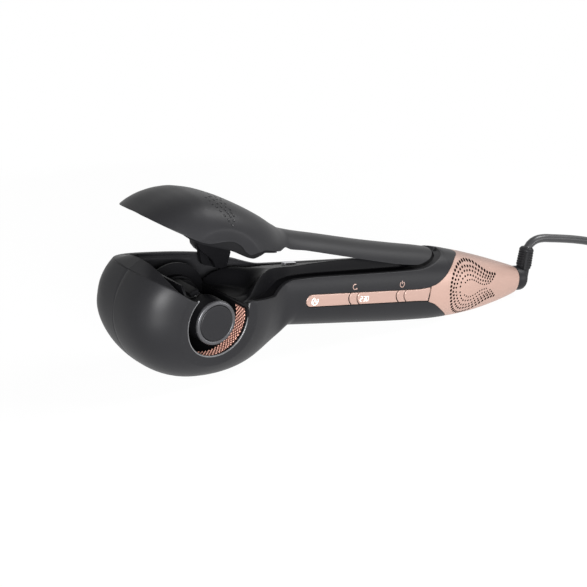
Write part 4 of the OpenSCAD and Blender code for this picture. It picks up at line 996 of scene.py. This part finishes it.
def lattice_relief(angle, y):
    """Height share of the knurl: the lower of two triangle waves that run diagonally over arc length and depth."""
    along = 18.6 * angle
    first, second = (np.abs((s / LATTICE_PITCH) % 1 - 0.5) * 2 for s in (along + y, along - y))
    return np.minimum(first, second)


def build_lattice():
    """Knurled copper liner: the bore's radius less the knurl's height, from the casing back to the lattice's far
    edge.
    """
    turns = np.radians(np.linspace(-113.5, 21.5, 500))
    front = -24.3 - 0.0862 * np.minimum(18.6 * np.sin(turns) + 21, 29)
    depth = mix(front[:, None], LATTICE_FAR, np.linspace(0, 1, 84)[None])

    def bent(radius):
        return np.stack([radius * np.cos(turns)[:, None], depth, radius * np.sin(turns)[:, None]], -1)

    radius = 18.75 - 0.5 * lattice_relief(turns[:, None], depth)
    obj = new_object("lattice", [shell_solid(bent(radius), bent(18.95 + 0 * radius), 0)])
    # Painted shade: the knurl's low points get a low share, so its grooves are painted dark.
    points = stood(obj)
    share = ease(lattice_relief(np.arctan2(points[:, 2], points[:, 0]), points[:, 1]), 0.1, 0.7)
    set_relief(obj, "POINT", share)
    dress(obj, lattice_copper(), "body", ["chamber_liner"], 20)


def build_rotor():
    profile = soften([(10.9, 8), (13, 8), (13, 11.4), (14, 11.4), (14, 14.6), (12.6, 14.6), (12.6, 17.4),
                      (10.9, 17.4)], 0.35)
    ring = ring_solid([tuple(p) for p in profile] + [tuple(profile[0])], (0, 0, 0), 128)
    a = np.radians(np.linspace(114 - 11, 114 + 11, 16))
    y = np.linspace(-11, 8.5, 10)

    def bent(radius):
        return np.stack([radius * np.cos(a)[:, None] + 0 * y, y + 0 * a[:, None],
                         radius * np.sin(a)[:, None] + 0 * y], -1)

    finger = shell_solid(bent(14.2), bent(11.4), 1.3)
    dress(new_object("rotor_hook", [ring, finger]), satin_black(), "rotor", ["rotor"])


def build_strip():
    for name, k0, k1, body, node in (
        ("strip_front_cap", 0, 1, "body", "strip_front"), ("timer_key_cap", 1, 2, "timer_key", "timer_button"),
        ("strip_middle_cap", 2, 3, "body", "strip_middle"), ("power_key_cap", 3, 4, "power_key", "power_button"),
        ("strip_rear_cap", 4, 5, "body", "strip_rear"),
    ):
        key = body != "body"
        solid = strip_panel(k0, k1, STRIP_GAP, -0.05, 0.75 if key else STRIP_DEPTH, 0.4, (40 if key else 90, 30))
        solids = [solid]
        if key:
            stem = [(0, 0.4), (1.5, 0.4), (1.5, 2.6), (0, 2.6)]
            x = (STRIP_X[k0] + STRIP_X[k1] + STRIP_LEAN) / 2
            solids.append(lathe(stem, "y", (x, float(-half_width(x, NEAR)), STRIP_Z + STRIP_HIGH / 2), 32))
        dress(new_object(name, solids), rose_gloss(), body, [node])


def arc(x, z, r, a0, a1, n=28):
    a = np.radians(np.linspace(a0, a1, n))
    return np.stack([x + r * np.cos(a), z + r * np.sin(a)], 1)


def inlay(name, strokes, width, material, raised=0.04):
    """Strokes of [x, z] points laid on the handle's skin as thin flat bands."""
    solids = []
    for stroke in strokes:
        line = np.asarray(stroke, float)
        if len(line) < 4:
            line = np.concatenate([mix(line[:-1, None], line[1:, None], np.linspace(0, 1, 6)[None, :-1, None])
                                   .reshape(-1, 2), line[-1:]])
        way = np.gradient(line, axis=0)
        way /= np.maximum(np.linalg.norm(way, axis=1, keepdims=True), 1e-9)
        off = np.stack([-way[:, 1], way[:, 0]], 1) * width / 2
        flat = line[:, None] + off[:, None] * np.linspace(-1, 1, 4)[None, :, None]
        y = side_y(flat[..., 0], flat[..., 1], NEAR)
        outer = np.stack([flat[..., 0], y - raised, flat[..., 1]], -1)
        solids.append(shell_solid(outer, outer + [0, 0.25, 0], 0))
    dress(new_object(name, solids), material, "body", ())


def build_symbols():
    turn = arc(98, 12.9, 1.45, 60, 330)
    turn_tip = [(99.4, 12.2), (99.5, 11.6), (98.7, 11.5)]
    power = arc(132.4, 13, 1.55, 125, 415)
    bar = [(132.4, 13.2), (132.4, 15)]
    inlay("turn_mark", [turn, turn_tip], 0.42, rose_gloss())
    inlay("power_mark", [power, bar], 0.42, rose_gloss())
    timer = arc(71, 5.7, 2.1, 110, 400, 40)
    hands = [(69.9, 4.6), (71, 7.2), (72, 4.6)]
    inlay("timer_mark", [timer, hands], 0.4, white_ink(), 0.03)
    digits = {
        2: [(0, 1), (1, 1), (1, 0), (0, 0), (0, -1), (1, -1)],
        3: [(0, 1), (1, 1), (1, 0), (0.2, 0), (1, 0), (1, -1), (0, -1)],
        0: [(0, 1), (1, 1), (1, -1), (0, -1), (0, 1)],
    }
    strokes = []
    for i, digit in enumerate((2, 3, 0)):
        shape = np.array(digits[digit], float) * [1.3, 1.35] + [103 + 2.2 * i, 5.7]
        strokes += [np.array([shape[q], shape[q + 1]]) for q in range(len(shape) - 1)]
    inlay("setting_digits", strokes, 0.3, white_ink(), 0.03)


def paint_vent_shade(obj, centres):
    """Painted shade in the vent holes: share 0 on the faces under the skin near a hole's axis, 1 elsewhere."""
    points = stood(obj)
    middle = np.array([points[list(face.vertices)].mean(0) for face in obj.data.polygons])
    near = np.full(len(middle), np.inf)
    for x, z in centres:
        near = np.minimum(near, np.hypot(middle[:, 0] - x, middle[:, 2] - z))
    under = middle[:, 1] - side_y(middle[:, 0], middle[:, 2], NEAR)
    set_relief(obj, "FACE", np.where((near < 1.1) & (under > 0.05) & (under < 12), 0.0, 1.0))


def build_cover():
    """Rear cover: rings of the body's skin, a rounded end and a hollow inside, cut to the casings' edge."""
    n = 160
    a = np.linspace(np.pi / 2, -np.pi / 2, n // 2 + 1)

    def ring(x, t):
        x = np.asarray(x, float)[:, None]
        t = np.asarray(t, float).reshape(-1, 1) if np.ndim(t) else t
        return np.concatenate([shell_point(x, a[None, :-1], NEAR, t),
                               shell_point(x, a[None, :0:-1], FAR, t)], 1)

    turn = np.linspace(0, np.pi / 2, 10)
    r = 1.6
    x = np.concatenate([np.linspace(150, HANDLE_END - r - 0.3, 120), HANDLE_END - r + r * np.sin(turn)])
    t = np.concatenate([np.zeros(120), r * (1 - np.cos(turn))])
    outer = ring(x, t)
    centre = np.array([HANDLE_END, 0, 7.6])
    end = mix(outer[-1][None], centre, np.linspace(0.15, 0.97, 7)[:, None, None])
    inner_x = np.linspace(150, HANDLE_END - 2.2, 60)
    inner = ring(inner_x, WALL)
    inner_end = mix(inner[-1][None], centre - [2.2, 0, 0], np.linspace(0.3, 0.97, 3)[:, None, None])
    sock = np.concatenate([end[::-1], outer[::-1], inner, inner_end])
    cover = new_object("rear_cover_skin", [tube_solid(sock)])
    cut(cover, new_object("behind", [prism(cover_outline(COVER_GAP), -60, 60)]), "INTERSECT")
    solids, centres = [], []
    b = round_angles(10)
    for rows, count, radius in VENT_ROWS:
        centres.append(through(np.array(rows), count))
        for x0, z0 in centres[-1]:
            y0 = float(side_y(x0, z0, NEAR))
            r = 1.4 * radius
            edge = np.stack([x0 + r * np.cos(b), z0 + r * np.sin(b)], 1)
            solids.append(prism(edge, y0 - 2.5, y0 + 5.5))
    cut(cover, new_object("vents", solids))
    # Paints shade into the vent holes.
    paint_vent_shade(cover, np.concatenate(centres))
    flatten(cover)
    dress(cover, rose_paint(), "body", ["rear_cover"])


def build_swivel():
    at = (HANDLE_END, 0, SWIVEL_Z)
    collar = [(0, 0.2), (7.35, 0.2), (7.5, 0.5), (7.5, 5.2)]
    a = np.radians(np.linspace(10, 90, 10))
    collar += [(7.5 - 3 + 3 * np.cos(v), 5.8 + 3 * np.sin(v)) for v in a] + [(0, 8.8)]
    body = new_object("swivel_knuckle", [lathe(collar, "x", at, 128)])
    hole = lathe([(0, 6.4), (4.45, 6.4), (4.45, 20), (0, 20)], "z", (BOOT_X, 0, SWIVEL_Z), 64)
    cut(body, new_object("boot_hole", [hole]))
    neck = lathe([(0, -4), (5, -4), (5, 0.4), (0, 0.4)], "x", at, 64)
    elbow = lathe([(0, 1), (3.8, 1), (3.8, 6.45), (0, 6.45)], "z", (BOOT_X, 0, SWIVEL_Z), 64)
    add_solids(body, [neck, elbow])
    dress(body, soft_touch(), "swivel", ["swivel_collar"])
    profile = [(0, 0.05), (4.4, 0.05), (4.4, 1.1)]
    for i in range(7):
        low, high, base = 4 - 0.04 * i, 4.8 - 0.05 * (i + 1), 1.1 + 1.5 * i
        profile += [(low, base), (low, base + 0.6), (high, base + 0.6), (high, base + 1.5)]
    profile += [(3.9, 12.5), (3.3, 13), (2.6, 13.2), (0, 13.2)]
    boot = new_object("strain_relief", [
        lathe(soften(profile, 0.16, 3), "z", (BOOT_X, 0, 14.2), 64),
        tube_solid(np.array([[(BOOT_X - 2.9 + u, -3.4 + v, z) for u, v in
                              ((-0.9, 0.9), (-1.1, -1.1), (0.9, -0.9), (1.1, 1.1))] for z in (14.3, 25)])),
    ])
    dress(boot, soft_touch(), "swivel", ["swivel_boot"])


def cord_route():
    """Centreline of the lead in millimetres of the part's frame: out of the strain relief, down to the table,
    the flat coil that runs in, out, in and out over four layers, and the tail to the plug."""
    rise = lie(np.array(BOOT_TIP) + np.array([(p[0], 0, p[1]) for p in LEAD_RISE]))
    lead = np.concatenate([rise, np.array(LEAD_REST, float)])
    n = np.linspace(0, COIL_LAYERS * COIL_TURNS, int(COIL_LAYERS * COIL_TURNS * 36) + 1)
    k = n % (2 * COIL_TURNS)
    radius = COIL_R - COIL_PITCH * np.minimum(k, 2 * COIL_TURNS - k)
    layer = sum(ease(n, COIL_TURNS * i - 0.25, COIL_TURNS * i + 0.25) for i in range(1, COIL_LAYERS))
    a = 2 * np.pi * n - np.pi / 2
    coil = np.array(COIL_AT) + np.stack([radius * np.cos(a), radius * np.sin(a), COIL_PITCH * layer], 1)
    start = coil[-1] + [CORD_D, 0, 0]
    k = np.arange(9)
    fall = ease(k, 0.5, 7.5)
    tail = start + np.stack([TAIL_RUN * k / 8, TAIL_SIDE * fall, -(start[2] - PLUG_AXIS) * fall], 1)
    lead = np.concatenate([lead, coil[:1] - [CORD_D, 0, 0]])
    return lead, coil, tail


def build_cord():
    lead, coil, tail = cord_route()
    points = np.concatenate([through(lead, 60), coil, tail]) * MM
    data = bpy.data.curves.new("lead", "CURVE")
    data.dimensions = "3D"
    spline = data.splines.new("POLY")
    spline.points.add(len(points) - 1)
    spline.points.foreach_set("co", np.column_stack([points, np.ones(len(points))]).ravel())
    data.bevel_depth = CORD_D / 2 * MM
    data.bevel_resolution = 5
    data.use_fill_caps = True
    obj = put("mains_lead", data)
    spline.use_smooth = True
    data.materials.append(cord_pvc())
    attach(obj, "body")
    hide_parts("cord_lead", "cord_coil")
    plug = build_plug(tail[-1])


def build_plug(at):
    """Plug: superellipse sections along its axis, from the round strain relief to the flat two-pin body."""
    rows = np.array([
        (0, 4, 4, 2), (0.3, 4.3, 4.3, 2), (6, 4.9, 4.9, 2), (10, 5.5, 5.5, 2), (12, 6.6, 6, 2.2),
        (14.5, 9.5, 6.6, 2.6), (18, 13.5, 6.8, 3), (21, 16, 6.85, 3.4), (24, 16.9, 6.85, 3.6), (30, 17, 6.85, 3.6),
        (40, 17, 6.85, 3.6), (43, 16.7, 6.7, 3.6), (43.8, 16.1, 6.2, 3.6), (44, 15, 5.4, 3.6),
    ])
    x = np.linspace(0, 44, 90)
    wide, high, power = (curve(x, rows[:, (0, i)]) for i in (1, 2, 3))
    a = round_angles(96)
    c, s = np.cos(a)[None], np.sin(a)[None]
    power = power[:, None]
    loops = np.stack(np.broadcast_arrays(
        at[0] + x[:, None], at[1] + wide[:, None] * np.sign(c) * np.abs(c)**(2 / power),
        at[2] + high[:, None] * np.sign(s) * np.abs(s)**(2 / power)), -1)
    plug = new_object("mains_plug", [tube_solid(loops)], lambda p: p)
    return dress(plug, cord_pvc(), "body", ["plug_body"])


def dress_frame():
    """Finishes of the CAD nodes that stay as they are."""
    for names, material in (
        (("hinge_pin", "lid_spring", "lid_pin", "idler_pin", "motor_shaft", "motor", "chassis_plate",
          "casing_screws", "plug_pins", "barrel_stem"), turned_steel()),
        (("hinge_bracket", "pin_switch", "rotor_bush", "button_switches", "buzzer", "swivel_flange", "power_parts",
          "lid_bumper"), satin_black()),
        (("rotor_gear", "idler_gear", "motor_pinion"), finish("acetal", (0.72, 0.72, 0.68), 0.4, shade=0.1)),
        (("control_board", "main_board"), finish("solder_mask", (0.02, 0.14, 0.06), 0.35, shade=0.3)),
        (("ceramic_heater",), finish("fired_ceramic", (0.8, 0.78, 0.74), 0.7, shade=0.1)),
    ):
        for name in names:
            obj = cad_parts[name]
            obj.data.materials.clear()
            obj.data.materials.append(material)


def build_camera():
    data = bpy.data.cameras.new("camera")
    data.sensor_width, data.lens = 36, 106.53
    data.clip_start, data.clip_end = 0.05, 20
    cam = put("camera", data)
    right = (0.809277, -0.586372, 0.035180)
    up = (0.169394, 0.290293, 0.941826)
    back = (-0.562473, -0.756239, 0.334255)
    matrix = Matrix([[right[i], up[i], back[i], 0] for i in range(3)] + [[0, 0, 0, 1]])
    matrix.translation = (-0.573542, -0.727482, 0.352755)
    cam.matrix_world = matrix
    bpy.context.scene.camera = cam


def lamp(name, at, aim, size, power):
    data = bpy.data.lights.new(name, "AREA")
    data.shape, data.size, data.size_y = "RECTANGLE", size[0], size[1]
    data.energy = power
    obj = put(name, data)
    back = np.array(at, float) - np.array(aim, float)
    back /= np.linalg.norm(back)
    right = np.cross((0, 0, 1), back)
    right /= np.linalg.norm(right)
    up = np.cross(back, right)
    matrix = Matrix([[right[i], up[i], back[i], at[i]] for i in range(3)] + [[0, 0, 0, 1]])
    obj.matrix_world = matrix


def white_to_view(tree, shade, white, share=1.0):
    """Mixes a shader with plain white for glossy and transmission rays, and by a share for camera rays."""
    rays, mixer = tree.nodes.new("ShaderNodeLightPath"), tree.nodes.new("ShaderNodeMixShader")
    seen = maths(tree, "MULTIPLY", rays.outputs["Is Camera Ray"], share)
    mirrored = maths(tree, "MAXIMUM", rays.outputs["Is Glossy Ray"], rays.outputs["Is Transmission Ray"])
    link(tree, maths(tree, "MAXIMUM", seen, mirrored), mixer.inputs[0])
    link(tree, shade, mixer.inputs[1])
    link(tree, white, mixer.inputs[2])
    return mixer.outputs[0]


def build_studio():
    p = bpy.context.scene.waver_studio
    mesh = bpy.data.meshes.new("floor")
    mesh.from_pydata([(-6, -6, 0), (6, -6, 0), (6, 6, 0), (-6, 6, 0)], [], [(0, 1, 2, 3)])
    floor = put("floor", mesh)
    material = bpy.data.materials.new("pale_floor")
    material.use_nodes = True
    tree = material.node_tree
    shader = tree.nodes["Principled BSDF"]
    place, away, white = (tree.nodes.new(k) for k in
                          ("ShaderNodeTexCoord", "ShaderNodeVectorMath", "ShaderNodeEmission"))
    away.operation = "LENGTH"
    link(tree, place.outputs["Object"], away.inputs[0])
    share = maths(tree, "SUBTRACT", away.outputs["Value"], p.fade_from)
    share = maths(tree, "MULTIPLY", share, 1 / p.fade_over)
    share = maths(tree, "MINIMUM", maths(tree, "MAXIMUM", share, p.least_white), 1.0)
    link(tree, white_to_view(tree, shader.outputs[0], white.outputs[0], share),
         tree.nodes["Material Output"].inputs["Surface"])
    shader.inputs["Base Color"].default_value = (0.7, 0.7, 0.7, 1)
    shader.inputs["Roughness"].default_value = 0.9
    shader.inputs["Specular IOR Level"].default_value = 0.0
    shader.inputs["Emission Color"].default_value = (1, 1, 1, 1)
    shader.inputs["Emission Strength"].default_value = p.floor_glow
    mesh.materials.append(material)
    lamp("key", (-0.6, -1.0, 0.2), (-0.08, 0, 0.04), (0.45, 0.45), p.key)
    lamp("fill", (0.8, -0.95, 0.12), (0.06, 0, 0.03), (0.4, 0.2), p.fill)
    lamp("top", (0.7, -0.2, 0.85), (-0.05, 0, 0.05), (0.45, 0.45), p.top)
    world = bpy.data.worlds.new("studio") if not bpy.context.scene.world else bpy.context.scene.world
    bpy.context.scene.world = world
    world.use_nodes = True
    tree = world.node_tree
    tree.nodes.clear()
    dim, white, out = (tree.nodes.new(k) for k in (
        "ShaderNodeBackground", "ShaderNodeBackground", "ShaderNodeOutputWorld"))
    dim.inputs["Color"].default_value = (1, 1, 1, 1)
    dim.inputs["Strength"].default_value = p.room
    white.inputs["Strength"].default_value = 1
    white.inputs["Color"].default_value = (1, 1, 1, 1)
    link(tree, white_to_view(tree, dim.outputs[0], white.outputs[0]), out.inputs["Surface"])
    bpy.context.scene.view_settings.view_transform = "Standard"


class WaverFinish(PropertyGroup):
    """Colours and gloss of the waver."""
    charcoal: FloatVectorProperty(
        name="Charcoal", description="Soft-touch paint of the casings and the lid", subtype="COLOR",
        default=(0.011, 0.011, 0.0122), min=0, max=1)
    charcoal_roughness: FloatProperty(
        name="Charcoal roughness", description="Roughness of the soft-touch paint", default=0.42, min=0, max=1)
    black: FloatVectorProperty(
        name="Black", description="Inner mouldings", subtype="COLOR", default=(0.004, 0.004, 0.0046), min=0, max=1)
    rose: FloatVectorProperty(
        name="Rose gold", description="Paint of the rear cover", subtype="COLOR", default=(0.33, 0.215, 0.178),
        min=0, max=1)
    strip: FloatVectorProperty(
        name="Strip", description="Metallic strip on the handle", subtype="COLOR", default=(0.33, 0.218, 0.183),
        min=0, max=1)


class WaverStudio(PropertyGroup):
    """Lamps and floor."""
    key: FloatProperty(
        name="Key", description="Power of the lamp at the front left", unit="POWER", default=32.0, min=0)
    fill: FloatProperty(
        name="Fill", description="Power of the lamp at the right", unit="POWER", default=3.5, min=0)
    top: FloatProperty(name="Top", description="Power of the lamp overhead", unit="POWER", default=8.0, min=0)
    room: FloatProperty(name="Room", description="Light from all round", default=0.05, min=0)
    floor_glow: FloatProperty(name="Floor glow", description="Own light of the floor", default=0.5, min=0)
    least_white: FloatProperty(
        name="Least white", description="Share of plain white in the floor under the waver", subtype="FACTOR",
        default=0.92, min=0, max=1)
    fade_from: FloatProperty(
        name="Fade from", description="Distance where the floor starts to fade to white", unit="LENGTH",
        default=0.0, min=0)
    fade_over: FloatProperty(
        name="Fade over", description="Distance over which the floor fades to white", unit="LENGTH",
        default=0.4, min=0.01)


class WAVER_OT_camera(Operator):
    """Place the camera at the photograph's angle"""
    bl_idname = "waver.camera"
    bl_label = "Camera"
    bl_options = {"REGISTER", "UNDO"}

    def execute(self, context):
        build_camera()
        return {"FINISHED"}


class WAVER_OT_lead(Operator):
    """Make the lead, its coil and the plug"""
    bl_idname = "waver.lead"
    bl_label = "Mains lead"
    bl_options = {"REGISTER", "UNDO"}

    def execute(self, context):
        build_cord()
        return {"FINISHED"}


class WAVER_OT_casings(Operator):
    """Make the two casings with the side opening"""
    bl_idname = "waver.casings"
    bl_label = "Casings"
    bl_options = {"REGISTER", "UNDO"}

    def execute(self, context):
        build_casings()
        return {"FINISHED"}


class WAVER_OT_rim(Operator):
    """Make the sloped facet inside the nose"""
    bl_idname = "waver.rim"
    bl_label = "Nose rim"
    bl_options = {"REGISTER", "UNDO"}

    def execute(self, context):
        build_rim()
        return {"FINISHED"}


class WAVER_OT_deck(Operator):
    """Make the deck with its scoop and ridge"""
    bl_idname = "waver.deck"
    bl_label = "Deck"
    bl_options = {"REGISTER", "UNDO"}

    def execute(self, context):
        build_deck()
        return {"FINISHED"}


class WAVER_OT_lid(Operator):
    """Make the lid, its dimples and its lining"""
    bl_idname = "waver.lid"
    bl_label = "Lid"
    bl_options = {"REGISTER", "UNDO"}

    def execute(self, context):
        build_lid()
        build_guide()
        return {"FINISHED"}


class WAVER_OT_barrel(Operator):
    """Make the barrel and its cool tip"""
    bl_idname = "waver.barrel"
    bl_label = "Barrel"
    bl_options = {"REGISTER", "UNDO"}

    def execute(self, context):
        build_barrel()
        return {"FINISHED"}


class WAVER_OT_chamber(Operator):
    """Make the chamber, its knurled liner and the rotor"""
    bl_idname = "waver.chamber"
    bl_label = "Chamber"
    bl_options = {"REGISTER", "UNDO"}

    def execute(self, context):
        build_chamber()
        build_lattice()
        build_rotor()
        return {"FINISHED"}


class WAVER_OT_strip(Operator):
    """Make the strip, the buttons and their symbols"""
    bl_idname = "waver.strip"
    bl_label = "Strip"
    bl_options = {"REGISTER", "UNDO"}

    def execute(self, context):
        build_strip()
        build_symbols()
        return {"FINISHED"}


class WAVER_OT_cover(Operator):
    """Make the rear cover with its vent holes"""
    bl_idname = "waver.cover"
    bl_label = "Rear cover"
    bl_options = {"REGISTER", "UNDO"}

    def execute(self, context):
        build_cover()
        return {"FINISHED"}


class WAVER_OT_swivel(Operator):
    """Make the swivel and the strain relief"""
    bl_idname = "waver.swivel"
    bl_label = "Swivel"
    bl_options = {"REGISTER", "UNDO"}

    def execute(self, context):
        build_swivel()
        return {"FINISHED"}


class WAVER_OT_inner_parts(Operator):
    """Give the inner parts their finishes"""
    bl_idname = "waver.inner_parts"
    bl_label = "Inner parts"
    bl_options = {"REGISTER", "UNDO"}

    def execute(self, context):
        dress_frame()
        return {"FINISHED"}


class WAVER_OT_stage(Operator):
    """Make the floor, the lamps and the world"""
    bl_idname = "waver.stage"
    bl_label = "Studio"
    bl_options = {"REGISTER", "UNDO"}

    def execute(self, context):
        build_studio()
        return {"FINISHED"}


OPERATORS = (
    WAVER_OT_camera, WAVER_OT_lead, WAVER_OT_casings, WAVER_OT_rim, WAVER_OT_deck, WAVER_OT_lid,
    WAVER_OT_barrel, WAVER_OT_chamber, WAVER_OT_strip, WAVER_OT_cover, WAVER_OT_swivel,
    WAVER_OT_inner_parts, WAVER_OT_stage,
)


class WAVER_PT_panel(Panel):
    """Lists the waver's builders."""
    bl_label = "Hair waver"
    bl_idname = "WAVER_PT_panel"
    bl_space_type = "VIEW_3D"
    bl_region_type = "UI"
    bl_category = "Waver"

    def draw(self, context):
        for name in ("waver_finish", "waver_studio"):
            group = getattr(context.scene, name)
            for key in group.bl_rna.properties.keys():
                if key not in ("rna_type", "name"):
                    self.layout.prop(group, key)
        for item in OPERATORS:
            self.layout.operator(item.bl_idname)


CLASSES = (WaverFinish, WaverStudio) + OPERATORS + (WAVER_PT_panel,)


def register():
    for item in CLASSES:
        bpy.utils.register_class(item)
    bpy.types.Scene.waver_finish = PointerProperty(type=WaverFinish)
    bpy.types.Scene.waver_studio = PointerProperty(type=WaverStudio)


def unregister():
    del bpy.types.Scene.waver_studio
    del bpy.types.Scene.waver_finish
    for item in reversed(CLASSES):
        bpy.utils.unregister_class(item)


def main():
    register()
    for item in OPERATORS:
        getattr(bpy.ops.waver, item.bl_idname.split(".")[1])()


if __name__ == "__main__":
    main()
